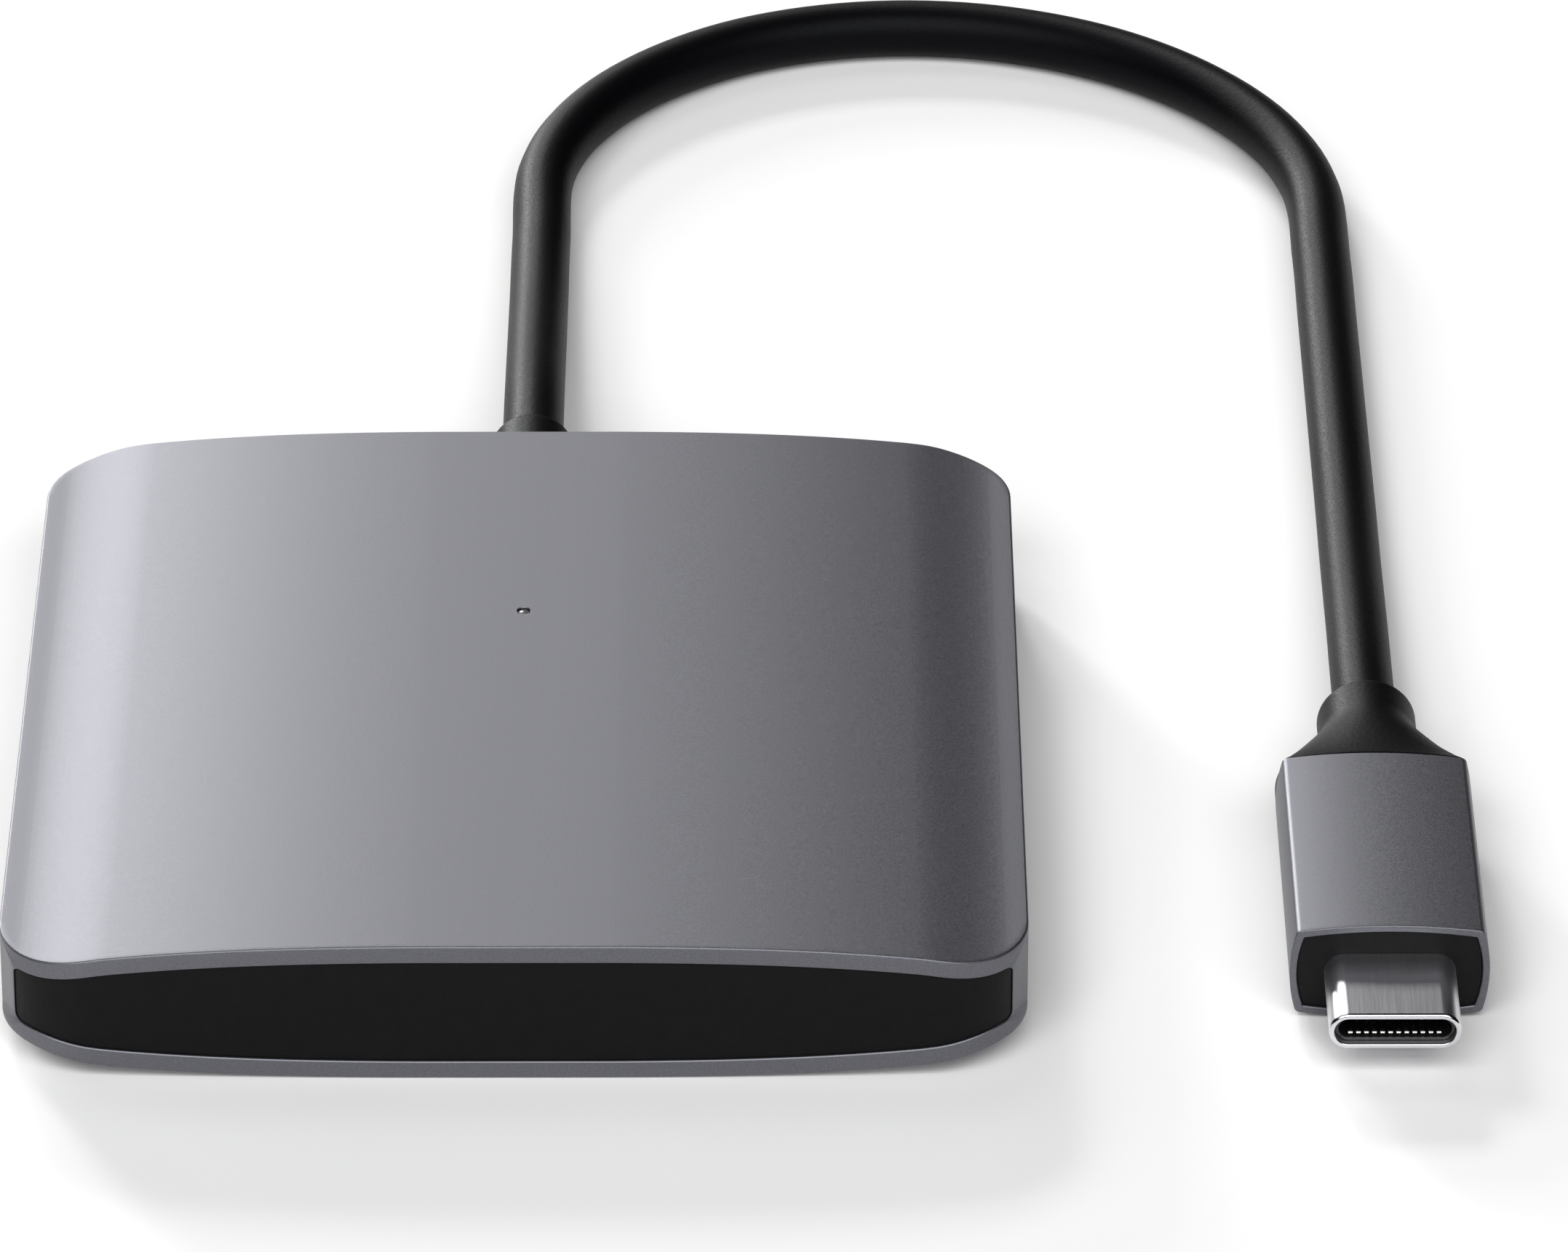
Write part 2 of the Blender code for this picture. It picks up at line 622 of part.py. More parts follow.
def build_ports(materials):
    for side, word in ((-1, "left"), (1, "right")):
        for end, place in ((-1, "front"), (1, "rear")):
            build_port(word, place, side, end, materials)


# ---------------------------------------------------------------- cable entry

def build_cable_entry(materials):
    along_y = {"rotation": (-math.pi / 2, 0, 0), "location": (0, 0, CABLE_Z)}
    collar, bore, edge = GLAND_RADIUS, BORE_RADIUS, 0.35
    flange_front, flange_rear = GLAND_FLANGE
    gland = [
        (GLAND_FLANGE_RADIUS, flange_front),
        (GLAND_FLANGE_RADIUS, flange_rear),
        (collar, flange_rear),
        (collar, GLAND_END - edge),
        (collar - edge * 0.3, GLAND_END - edge * 0.3),
        (bore + 0.1, GLAND_END),
        (bore, GLAND_END),
        (bore, flange_front),
    ]
    turned("cable_gland", gland, materials["jacket"], segments=24, bored=True, **along_y)
    rim = bore + CRIMP_WALL
    crimp = [(bore, CRIMP_Y[0]), (rim, CRIMP_Y[0]), (rim, CRIMP_Y[1]), (bore, CRIMP_Y[1])]
    turned("cable_crimp_ring", crimp, materials["steel"], segments=20, bored=True, **along_y)
    tail = [(CABLE_RADIUS, TAIL_START), (CABLE_RADIUS, GLAND_END)]
    turned("cable_tail", tail, materials["jacket"], segments=16, **along_y)
    build_cable_clamp(materials)
    build_leads(materials)


def build_cable_clamp(materials):
    """A bridge over the cable's end, screwed to the tray on both sides."""
    foot = BOARD_BOTTOM
    middle_top = CLAMP_ARCH_HALF_X - 0.6
    arch = []
    for step in range(9):
        angle = math.pi - math.pi * step / 8
        arch.append((BORE_RADIUS * math.cos(angle), CABLE_Z + BORE_RADIUS * math.sin(angle)))
    right = [(BORE_RADIUS, foot), (CLAMP_HALF_X, foot), (CLAMP_HALF_X, CLAMP_SHOULDER),
             (CLAMP_ARCH_HALF_X, CLAMP_SHOULDER), (middle_top, CLAMP_TOP)]
    left = [(-x, z) for x, z in reversed(right)]
    outline = arch + right + left
    rings = [[(x, y, z) for x, z in outline] for y in CLAMP_Y]
    clamp = loft("cable_clamp", rings, materials["tray"])
    bore = circle(BOSS_HOLE, 12)
    holes = many_prisms("cut_clamp_holes", bore, CLAMP_SCREWS, foot - 1, CLAMP_SHOULDER + 1)
    add_boolean(clamp, holes, "DIFFERENCE")


def build_leads(materials):
    """The cable's inner wires, which fan out from its end to the board."""
    start_y = TAIL_START - GAP
    board_z = BOARD_BOTTOM + BOARD_THICK + GAP + LEAD_RADIUS
    names = (("ground_lead", "jacket"), ("power_lead", "red_wire"),
             ("data_lead_1", "white_wire"), ("data_lead_2", "white_wire"))
    for index, (name, material) in enumerate(names):
        spread = index - 1.5
        end_x = spread * LEAD_SPREAD
        across = (spread, spread * 1.1, (spread + end_x) / 2, end_x, end_x)
        lifts = (0.3, 0.25, 0.05, 0.0, 0.0)
        route = [(x, start_y - along, board_z + lift)
                 for x, along, lift in zip(across, LEAD_LENGTHS, lifts)]
        tube(name, spline_through(route, 1.1), LEAD_RADIUS, 1, materials[material])


def build_cable(materials):
    tube("cable", spline_through(CABLE_ROUTE, CABLE_STEP), CABLE_RADIUS, 2, materials["jacket"])


# ---------------------------------------------------------------- plug

ALONG_PLUG = {"location": (PLUG_X, 0, PLUG_Z), "rotation": (math.pi / 2, 0, 0)}


def plug_outline(inset):
    """The plug's bowed section, inset from its outer surface, anticlockwise from the right."""
    corner_x, corner_y = PLUG_CORNER[0] - inset, PLUG_CORNER[1] - inset
    middle_x, middle_y = PLUG_MIDDLE[0] - inset, PLUG_MIDDLE[1] - inset
    rounding = max(PLUG_ROUND - inset, 0.1)
    quarter = []
    for fraction in (0.0, 0.45, 0.8):
        y = fraction * (corner_y - rounding)
        quarter.append((middle_x - (middle_x - corner_x) * (y / corner_y) ** 2, y))
    for degrees in (14, 48, 82):
        angle = math.radians(degrees)
        across, up = rounding * (1 - math.cos(angle)), rounding * (1 - math.sin(angle))
        quarter.append((corner_x - across, corner_y - up))
    for fraction in (0.8, 0.4):
        x = fraction * (corner_x - rounding)
        quarter.append((x, middle_y - (middle_y - corner_y) * (x / corner_x) ** 2))
    top = quarter + [(0.0, middle_y)] + [(-x, y) for x, y in reversed(quarter)]
    bottom = [(x, -y) for x, y in reversed(top[1:-1])]
    return top + bottom


def at_level(outline, y):
    """A ring of the plug at world depth y. Its own z axis points to the tip, along -Y."""
    return [(x, up, -y) for x, up in outline]


def relief_width(y):
    """Half width of the strain relief: full beside the sleeve, then a neck down to the round collar."""
    neck_start, neck_end = RELIEF_NECK
    t = min(max((y - neck_start) / (neck_end - neck_start), 0.0), 1.0)
    return smooth_between(t, PLUG_MIDDLE[0], RELIEF_RADIUS, 0.0, 0.0)


def relief_ring(y):
    """The section at y: the plug's outline, which softens to an ellipse and ends as a circle."""
    outline = plug_outline(0.0)
    softening = min(max((y - SLEEVE_REAR) / (RELIEF_OVAL - SLEEVE_REAR), 0.0), 1.0)
    softening = softening * (2 - softening)
    fall = min(max((y - SLEEVE_REAR) / (RELIEF_STATIONS[-1] - SLEEVE_REAR), 0.0), 1.0)
    width = relief_width(y)
    height = PLUG_MIDDLE[1] + (RELIEF_RADIUS - PLUG_MIDDLE[1]) * fall
    ring = []
    for x, up in outline:
        angle = math.atan2(up / PLUG_MIDDLE[1], x / PLUG_MIDDLE[0])
        flat = (x * width / PLUG_MIDDLE[0], up * height / PLUG_MIDDLE[1])
        round_point = (width * math.cos(angle), height * math.sin(angle))
        ring.append((flat[0] + (round_point[0] - flat[0]) * softening,
                     flat[1] + (round_point[1] - flat[1]) * softening))
    return ring


def ellipse_like(outline, radius):
    """A circle with a point for each point of the plug's outline."""
    angles = [math.atan2(up / PLUG_MIDDLE[1], x / PLUG_MIDDLE[0]) for x, up in outline]
    return [(radius * math.cos(angle), radius * math.sin(angle)) for angle in angles]


def build_strain_relief(materials):
    outline = plug_outline(0.0)
    spigot = plug_outline(PLUG_WALL + GAP)
    bore = ellipse_like(outline, BORE_RADIUS)
    rings = [at_level(bore, RELIEF_SPIGOT), at_level(spigot, RELIEF_SPIGOT)]
    rings.append(at_level(spigot, RELIEF_STATIONS[0]))
    for y in RELIEF_STATIONS:
        rings.append(at_level(relief_ring(y), y))
    edge = RELIEF_EDGE
    rings.append(at_level(ellipse_like(outline, RELIEF_RADIUS), RELIEF_END - edge))
    rings.append(at_level(ellipse_like(outline, RELIEF_RADIUS - edge * 0.3), RELIEF_END - edge * 0.3))
    rings.append(at_level(ellipse_like(outline, RELIEF_RADIUS - edge), RELIEF_END))
    rings.append(at_level(bore, RELIEF_END))
    loft("plug_strain_relief", rings, materials["jacket"], ring_closed=True, smooth=40, **ALONG_PLUG)


def build_plug_casing(materials):
    outer, inner = plug_outline(0.0), plug_outline(PLUG_WALL)
    rings = [at_level(outer, SLEEVE_REAR), at_level(outer, SLEEVE_FRONT),
             at_level(inner, SLEEVE_FRONT), at_level(inner, SLEEVE_REAR)]
    loft("plug_sleeve", rings, materials["aluminium"], ring_closed=True, smooth=30, **ALONG_PLUG)
    outer = plug_outline(PLUG_WALL + 0.2)
    gap_width, gap_height = PLUG_SHELL[0] + 2 * GAP, PLUG_SHELL[1] + 2 * GAP
    mouth = []
    for x, up in outer:
        angle = math.atan2(up / gap_height, x / gap_width)
        mouth.append(stadium_point(gap_width, gap_height, angle))
    rings = [at_level(outer, INSERT_REAR), at_level(outer, INSERT_FRONT),
             at_level(mouth, INSERT_FRONT), at_level(mouth, INSERT_REAR)]
    loft("plug_inner_body", rings, materials["cover"], ring_closed=True, smooth=40, **ALONG_PLUG)


def stadium_point(width, height, angle):
    """The point of a stadium outline in the direction angle of its bounding ellipse."""
    x, y = width / 2 * math.cos(angle), height / 2 * math.sin(angle)
    flat = width / 2 - height / 2
    if abs(y) * width / 2 < 1e-9 or abs(x) > flat * 1.0001:
        lean = math.atan2(y, max(abs(x) - flat, 1e-6))
        return (math.copysign(flat + height / 2 * math.cos(lean), x), height / 2 * math.sin(lean))
    return (x, math.copysign(height / 2, y))


def build_plug_shell(materials):
    width, height = PLUG_SHELL
    outer = rounded_outline(width, height, height / 2 - 0.02, 6)
    wall = PLUG_SHELL_WALL
    inner = rounded_outline(width - 2 * wall, height - 2 * wall, height / 2 - 0.02 - wall, 6)
    rings = [at_level(outer, PLUG_SHELL_REAR), at_level(outer, PLUG_TIP),
             at_level(inner, PLUG_TIP), at_level(inner, PLUG_SHELL_REAR)]
    loft("plug_shell", rings, materials["steel"], ring_closed=True, smooth=50, **ALONG_PLUG)


def contact_outline():
    """A comb: a carrier strip at the rear and slender fingers that point to the mouth."""
    half_row = (CONTACT_COUNT - 1) * CONTACT_PITCH / 2
    half_strip = half_row + CONTACT_WIDTH / 2
    points = [(-half_strip, COMB_START), (half_strip, COMB_START)]
    for index in reversed(range(CONTACT_COUNT)):
        centre = index * CONTACT_PITCH - half_row
        left, right = centre - CONTACT_WIDTH / 2, centre + CONTACT_WIDTH / 2
        points += [(right, FINGER_START), (right, FINGER_TIP), (left, FINGER_TIP), (left, FINGER_START)]
    points[2] = (half_strip, FINGER_START)
    points[-1] = (-half_strip, FINGER_START)
    return points


def flat_spring(name, outline, level, half_thick, material):
    """A flat sheet part: an outline in the plug's own X and length, at one level above its middle."""
    rings = [[(x, level + half, along) for x, along in outline] for half in (-half_thick, half_thick)]
    return loft(name, rings, material, **ALONG_PLUG)


def along_plug(name, outline, ends, material):
    """Extrudes an outline along the plug between two distances from the origin."""
    return loft(name, [at_level(outline, -end) for end in ends], material, **ALONG_PLUG)


def build_plug_core(materials):
    comb = contact_outline()
    flat_spring("plug_contacts_upper", comb, CONTACT_LEVEL, CONTACT_HALF_THICK, materials["gold"])
    flat_spring("plug_contacts_lower", comb, -CONTACT_LEVEL, CONTACT_HALF_THICK, materials["gold"])
    carrier = rounded_outline(*CARRIER_SIZE, 0.2, 1)
    along_plug("plug_contact_carrier", carrier, CARRIER_ENDS, materials["tray"])
    latch = list(LATCH_ARM) + [(-x, along) for x, along in reversed(LATCH_ARM)]
    flat_spring("plug_latch_spring", latch, 0.0, LATCH_HALF_THICK, materials["steel"])
    half_x, half_up = PLUG_BOARD_HALF
    board = [(-half_x, -half_up), (half_x, -half_up), (half_x, half_up), (-half_x, half_up)]
    along_plug("plug_board", board, PLUG_BOARD_ENDS, materials["board"])
    half_x, (low, high) = MARKER_HALF_WIDTH, MARKER_LEVELS
    chip = [(-half_x, low), (half_x, low), (half_x, high), (-half_x, high)]
    along_plug("plug_marker_chip", chip, MARKER_ENDS, materials["chip"])


def build_plug_cable_end(materials):
    radius, rim = BORE_RADIUS, BORE_RADIUS + FERRULE_WALL
    start, end = FERRULE_ENDS
    ferrule = [(radius, start), (rim, start), (rim, end), (radius, end)]
    turned("plug_crimp_ferrule", ferrule, materials["steel"], segments=20, bored=True, **ALONG_PLUG)
    tail = [(CABLE_RADIUS, -RELIEF_END), (CABLE_RADIUS, end)]
    turned("plug_cable_tail", tail, materials["jacket"], segments=16, **ALONG_PLUG)


# ---------------------------------------------------------------- whole object

def main():
    for obj in list(bpy.data.objects):
        bpy.data.objects.remove(obj, do_unlink=True)
    materials = make_materials()
    build_housing_sleeve(materials)
    build_covers(materials)
    build_inner_tray(materials)
    build_main_board(materials)
    build_board_parts(materials)
    build_light_pipe(materials)
    build_screws(materials)
    build_ports(materials)
    build_cable_entry(materials)
    build_cable(materials)
    build_strain_relief(materials)
    build_plug_casing(materials)
    build_plug_shell(materials)
    build_plug_core(materials)
    build_plug_cable_end(materials)


main()
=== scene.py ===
"""The looks of a four-port USB-C hub with a fixed cable and plug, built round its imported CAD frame.

Lengths are in millimetres unless a comment says metres, and MM turns them into Blender's metres.
+X is the hub's right side, +Y its rear and +Z up, with the origin under the middle of the hub.
"""

import math

import bmesh
import bpy
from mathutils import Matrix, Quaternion, Vector


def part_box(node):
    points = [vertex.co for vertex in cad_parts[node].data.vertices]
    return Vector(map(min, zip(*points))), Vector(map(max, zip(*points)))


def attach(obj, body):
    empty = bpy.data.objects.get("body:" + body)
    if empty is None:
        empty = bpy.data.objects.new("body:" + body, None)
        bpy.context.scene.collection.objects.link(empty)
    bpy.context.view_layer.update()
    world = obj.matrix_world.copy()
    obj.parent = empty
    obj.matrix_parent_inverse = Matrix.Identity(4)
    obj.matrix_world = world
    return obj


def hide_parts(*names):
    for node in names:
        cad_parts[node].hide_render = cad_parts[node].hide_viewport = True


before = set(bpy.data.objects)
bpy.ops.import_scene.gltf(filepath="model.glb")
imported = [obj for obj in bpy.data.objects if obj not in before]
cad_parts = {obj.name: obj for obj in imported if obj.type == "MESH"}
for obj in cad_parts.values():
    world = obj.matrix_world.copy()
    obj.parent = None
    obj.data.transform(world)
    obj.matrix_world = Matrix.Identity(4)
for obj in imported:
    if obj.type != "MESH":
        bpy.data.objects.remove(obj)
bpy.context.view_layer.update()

MM = 0.001


def cad_box(node):
    """The lowest and highest corner of a CAD node, in millimetres."""
    low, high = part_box(node)
    return low / MM, high / MM


# ---------------------------------------------------------------- sizes

# Hub body: a lens-shaped section along Y inside a rounded plan outline.
HUB_HIGH = cad_box("housing_sleeve")[1]
HALF_WIDTH = HUB_HIGH.x
HALF_DEPTH = HUB_HIGH.y
MID_Z = HUB_HIGH.z / 2
PLAN_RADIUS = 5.8
FLAT_HALF = 6.0
DOME_HALF = 25.0
DOME_DROP = 0.863
SHOULDER_HALF = 30.9
EDGE_DROP = 1.68
EDGE_SLOPE = 0.02
WALL_TOP = 1.2
WALL_SIDE = 0.8
MOUTH_SIDE = 1.03          # width of the rim beside each mouth, where the wall is a little thicker
RIM_ROUND = 0.14           # rounding all round the top and bottom edges
MOUTH_ROUND = 0.5          # corner rounding of the two mouths
MOUTH_BREAK = 0.06         # the mouths' broken edges
SUPPORT = 0.3              # width of the ring that keeps an edge's shading off the large faces

# End panels
PANEL_GAP = 0.03
PANEL_RECESS = 0.15
PANEL_THICK = 1.6
PANEL_ROUND = 0.1

# Indicator
LED_Y = 8.7
LED_HOLE = 0.42
LED_BREAK = 0.05
LED_CUT_OVER = 0.3         # how far the hole's cutter stands above the top
LED_CUT_PAST = 0.5         # how far it reaches below the wall
LENS_RADIUS = 0.38
LENS_DOME = 0.13
LENS_DEPTH = 0.06          # depth of the dome's tip below the hub's top
LENS_FOOT = 1.4
LENS_FOOT_THICK = 2.0
LENS_FOOT_BREAK = 0.1
LENS_FOOT_GAP = 0.05       # between the foot and the wall above it

# Side sockets
PORT_Y = 10.0
PORT_SLOT = (9.0, 3.2)
PORT_BREAK = 0.15
SOCKET_SIZE = (8.9, 3.12)
SOCKET_WALL = 0.28
SOCKET_DEPTH = 7.6
SOCKET_IN_WALL = 0.25      # how far the socket's mouth reaches into the sleeve's wall
SOCKET_MOUTH = HALF_WIDTH - WALL_SIDE + SOCKET_IN_WALL
TONGUE_SIZE = (6.69, 0.7)
TONGUE_ROUND = 0.2
TONGUE_FOOT = (7.4, 1.7)
TONGUE_FOOT_ROUND = 0.3
TONGUE_FOOT_LENGTH = 1.6
TONGUE_REACH = 6.6
TONGUE_TAPER = 0.1         # length of the taper at the tongue's tip
TONGUE_TIP_LESS = 0.16     # how much narrower and thinner the tip is
TONGUE_TIP_ROUND = 0.15
TONGUE_TIP = SOCKET_MOUTH - SOCKET_DEPTH + TONGUE_REACH
TONGUE_BACK = SOCKET_MOUTH - SOCKET_DEPTH + SOCKET_WALL + 0.1
PIN_PITCH = 0.5
PIN_COUNT = 12
PIN_WIDTH = 0.26
PIN_SUNK = 0.05            # how deep a socket's contact sits in its tongue
PIN_PROUD = 0.03
PIN_TIP_PROUD = 0.005

# Cable
CABLE_RADIUS = 2.05
CABLE_CLEARANCE = 0.04
GLAND_RADIUS = 2.8
GLAND_CLEARANCE = 0.06
GLAND_FLANGE = (29.0, 30.2)
GLAND_FLANGE_WIDER = 0.35
GLAND_EXIT = (0.0, cad_box("cable_gland")[1].y, MID_Z)
CABLE_ROUTE = (
    (0.0, 20.8, 4.80),
    (0.0, 30.0, 4.80),
    (0.0, 38.8, 4.80),
    (0.0, 46.0, 4.60),
    (0.0, 54.0, 3.75),
    (0.0, 63.6, 2.75),
    (0.0, 73.0, 2.20),
    (0.2, 83.2, 2.10),
    (2.6, 91.1, 2.10),
    (7.3, 97.9, 2.10),
    (14.2, 103.1, 2.10),
    (22.6, 105.7, 2.10),
    (31.4, 105.4, 2.10),
    (39.9, 102.2, 2.10),
    (47.0, 96.5, 2.10),
    (52.0, 89.1, 2.10),
    (54.5, 80.7, 2.10),
    (54.8, 70.4, 2.10),
    (54.8, 61.6, 2.10),
    (54.8, 52.8, 2.10),
    (54.8, 44.1, 2.10),
    (54.8, 35.2, 2.12),
    (54.75, 27.4, 2.40),
    (54.7, 17.5, 3.00),
    (54.65, 11.0, 3.32),
    (54.65, 5.2, 3.40),
    (54.65, -3.0, 3.40),
    (54.65, -11.6, 3.40),
)

# Plug: half widths and half heights are measured from its own centre line.
PLUG_LOW, PLUG_HIGH = cad_box("plug_sleeve")
PLUG_X = (PLUG_LOW.x + PLUG_HIGH.x) / 2
PLUG_Z = (PLUG_LOW.z + PLUG_HIGH.z) / 2
SLEEVE_FRONT = PLUG_LOW.y
SLEEVE_REAR = PLUG_HIGH.y
PLUG_MIDDLE = (PLUG_HIGH.x - PLUG_X, PLUG_HIGH.z - PLUG_Z)
PLUG_CORNER = (5.84, 2.96)
PLUG_ROUND = 0.4
PLUG_WALL = 0.45
FACE_Y = cad_box("plug_inner_body")[0].y
TIP_Y = cad_box("plug_shell")[0].y
SHELL_SIZE = (8.25, 2.5)
SHELL_WALL = 0.28
SHELL_ROUND = 0.2
LINING_WALL = 0.235
LINING_SETBACK = 0.45
LINING_GAP = 0.08
SHELL_LENGTH = 11.0
RELIEF_END = cad_box("plug_strain_relief")[1].y
RELIEF_RADIUS = 3.2
RELIEF_NECK = (-3.6, 2.4)  # where the neck between the sleeve and the collar starts and ends
RELIEF_OVAL = -1.0         # where the section has become an ellipse


# ---------------------------------------------------------------- camera, floor and light

CAMERA_PLACE = (14.901, -597.236, 363.061)
CAMERA_PITCH = 30.34       # degrees below the horizon
CAMERA_YAW = 0.188         # degrees towards +X
CAMERA_ROLL = 0.05         # degrees, which lowers the picture's right side
CAMERA_LENS = 248.07
CAMERA_SENSOR = 36.0


def make_camera():
    data = bpy.data.cameras.new("camera")
    data.sensor_width = CAMERA_SENSOR
    data.lens = CAMERA_LENS
    data.clip_start = 0.01
    data.clip_end = 50.0
    camera = bpy.data.objects.new("camera", data)
    bpy.context.scene.collection.objects.link(camera)
    camera.location = Vector(CAMERA_PLACE) * MM
    pitch, yaw = math.radians(CAMERA_PITCH), math.radians(CAMERA_YAW)
    forward = Vector((math.sin(yaw) * math.cos(pitch), math.cos(yaw) * math.cos(pitch), -math.sin(pitch)))
    camera.rotation_mode = "QUATERNION"
    roll = Quaternion((0.0, 0.0, 1.0), math.radians(CAMERA_ROLL))
    camera.rotation_quaternion = forward.to_track_quat("-Z", "Y") @ roll
    bpy.context.scene.camera = camera


def node(tree, kind, **settings):
    made = tree.nodes.new(kind)
    for name, value in settings.items():
        setattr(made, name, value)
    return made


def make_floor(material):
    """A wide pale disc, in metres."""
    radius, segments = 3.0, 64
    rim = [(radius * math.cos(2 * math.pi * i / segments), radius * math.sin(2 * math.pi * i / segments), 0.0)
           for i in range(segments)]
    mesh = bpy.data.meshes.new("floor")
    mesh.from_pydata(rim, [], [tuple(range(segments))])
    floor = bpy.data.objects.new("floor", mesh)
    bpy.context.scene.collection.objects.link(floor)
    mesh.materials.append(material)


# Each softbox: azimuth in degrees from the rear (+Y), clockwise seen from above, elevation in degrees,
# size in metres, power in watts and colour. The first five make one curved strip behind the hub.
LIGHT_DISTANCE = 3.0
LIGHT_TARGET = (0.015, 0.0, 0.0)
STRIP_COLOUR = (1.0, 0.998, 0.985)
WHITE = (1.0, 1.0, 1.0)
SOFTBOXES = {
    "strip_box_1": (-12, 29, (0.4, 0.4), 17.2, STRIP_COLOUR),
    "strip_box_2": (-18, 29, (0.4, 0.4), 6.7, STRIP_COLOUR),
    "strip_box_3": (-24, 29, (0.4, 0.4), 5.4, STRIP_COLOUR),
    "strip_box_4": (-25.5, 17, (0.4, 0.4), 25.3, STRIP_COLOUR),
    "strip_box_5": (-28.5, 11, (0.4, 0.4), 20.0, STRIP_COLOUR),
    "high_box": (-30, 62, (1.25, 1.0), 5.9, WHITE),
    "side_box": (-60, 35, (1.0, 1.0), 4.3, WHITE),
    "front_box": (180, 55, (4.0, 1.5), 76.8, WHITE),
    "low_front_box": (180, 30, (4.0, 0.75), 37.3, WHITE),
    "front_left_box": (-130, 50, (2.0, 1.25), 6.0, WHITE),
}
WORLD_COLOUR = (0.90, 0.95, 1.0)
WORLD_STRENGTH = 0.005


def make_lights():
    target = Vector(LIGHT_TARGET)
    for name, (azimuth, elevation, size, power, colour) in SOFTBOXES.items():
        data = bpy.data.lights.new(name, "AREA")
        data.shape = "RECTANGLE"
        data.size, data.size_y = size
        data.energy = power
        data.color = colour
        light = bpy.data.objects.new(name, data)
        bpy.context.scene.collection.objects.link(light)
        turn, lift = math.radians(azimuth), math.radians(elevation)
        away = Vector((math.sin(turn) * math.cos(lift), math.cos(turn) * math.cos(lift), math.sin(lift)))
        light.location = target + away * LIGHT_DISTANCE
        light.rotation_mode = "QUATERNION"
        light.rotation_quaternion = (-away).to_track_quat("-Z", "Y")
    world = bpy.data.worlds.new("studio")
    world.use_nodes = True
    tree = world.node_tree
    background = tree.nodes["Background"]
    background.inputs["Color"].default_value = (*WORLD_COLOUR, 1.0)
    background.inputs["Strength"].default_value = WORLD_STRENGTH
    bpy.context.scene.world = world
    bpy.context.scene.view_settings.view_transform = "Standard"


# ---------------------------------------------------------------- materials

def link(tree, source, target):
    tree.links.new(source, target)


def new_material(name, colour, roughness, metallic=0.0, **sockets):
    """A Principled material. Extra sockets are given by name, with underscores for spaces."""
    material = bpy.data.materials.new(name)
    material.use_nodes = True
    shader = material.node_tree.nodes["Principled BSDF"]
    shader.inputs["Base Color"].default_value = (*colour, 1.0)
    shader.inputs["Roughness"].default_value = roughness
    shader.inputs["Metallic"].default_value = metallic
    for socket, value in sockets.items():
        shader.inputs[socket.replace("_", " ")].default_value = value
    return material


def noise_at(tree, size, detail=2.0, stretch=(1, 1, 1), distortion=0.0):
    """Noise whose features are about size millimetres across, in object space."""
    coordinates = node(tree, "ShaderNodeTexCoord")
    mapping = node(tree, "ShaderNodeMapping")
    mapping.inputs["Scale"].default_value = stretch
    link(tree, coordinates.outputs["Object"], mapping.inputs["Vector"])
    texture = node(tree, "ShaderNodeTexNoise")
    texture.inputs["Scale"].default_value = 1.0 / (size * MM)
    texture.inputs["Detail"].default_value = detail
    texture.inputs["Distortion"].default_value = distortion
    link(tree, mapping.outputs["Vector"], texture.inputs["Vector"])
    return texture.outputs["Fac"]


def ramp(tree, source, low, high, start=0.35, end=0.65):
    """Maps a texture's middle range to two colours or two grey levels."""
    made = node(tree, "ShaderNodeValToRGB")
    made.color_ramp.elements[0].position = start
    made.color_ramp.elements[1].position = end
    for element, value in zip(made.color_ramp.elements, (low, high)):
        element.color = (*value, 1.0) if hasattr(value, "__len__") else (value, value, value, 1.0)
    link(tree, source, made.inputs["Fac"])
    return made.outputs["Color"]


def add_bump(tree, layers):
    """Chains bump layers, each a texture, a height in millimetres and a strength."""
    shader = tree.nodes["Principled BSDF"]
    normal = None
    for source, height, strength in layers:
        bump = node(tree, "ShaderNodeBump")
        bump.inputs["Distance"].default_value = height * MM
        bump.inputs["Strength"].default_value = strength
        link(tree, source, bump.inputs["Height"])
        if normal:
            link(tree, normal, bump.inputs["Normal"])
        normal = bump.outputs["Normal"]
    link(tree, normal, shader.inputs["Normal"])


def scaled(colour, factor):
    return tuple(channel * factor for channel in colour)


CLOUD_SCALE = 9            # size of the cloudy variation, in grains
GRAIN_STRENGTH = 0.6
CLOUD_STRENGTH = 0.25


def textured(name, colour, roughness, metallic, grain, spread, rough_spread, bump, **sockets):
    """A surface with a fine grain: colour and roughness vary a little, and the grain has relief."""
    material = new_material(name, colour, roughness, metallic, **sockets)
    tree = material.node_tree
    shader = tree.nodes["Principled BSDF"]
    fine = noise_at(tree, grain)
    cloudy = noise_at(tree, grain * CLOUD_SCALE, detail=3.0)
    link(tree, ramp(tree, cloudy, scaled(colour, 1 - spread), scaled(colour, 1 + spread)),
         shader.inputs["Base Color"])
    link(tree, ramp(tree, fine, roughness - rough_spread, roughness + rough_spread),
         shader.inputs["Roughness"])
    add_bump(tree, [(fine, grain * bump, GRAIN_STRENGTH), (cloudy, grain * bump, CLOUD_STRENGTH)])
    return material


def make_aluminium():
    """Anodised, bead-blasted metal: an even surface with a very fine grain."""
    colour = (0.162, 0.1635, 0.182)
    material = new_material("bead_blasted_aluminium", colour, 0.50, 1.0)
    tree = material.node_tree
    shader = tree.nodes["Principled BSDF"]
    grain = noise_at(tree, 0.12, detail=1.0)
    link(tree, ramp(tree, grain, scaled(colour, 0.90), scaled(colour, 1.10)), shader.inputs["Base Color"])
    link(tree, ramp(tree, grain, 0.47, 0.53), shader.inputs["Roughness"])
    add_bump(tree, [(grain, 0.006, 0.5)])
    return material


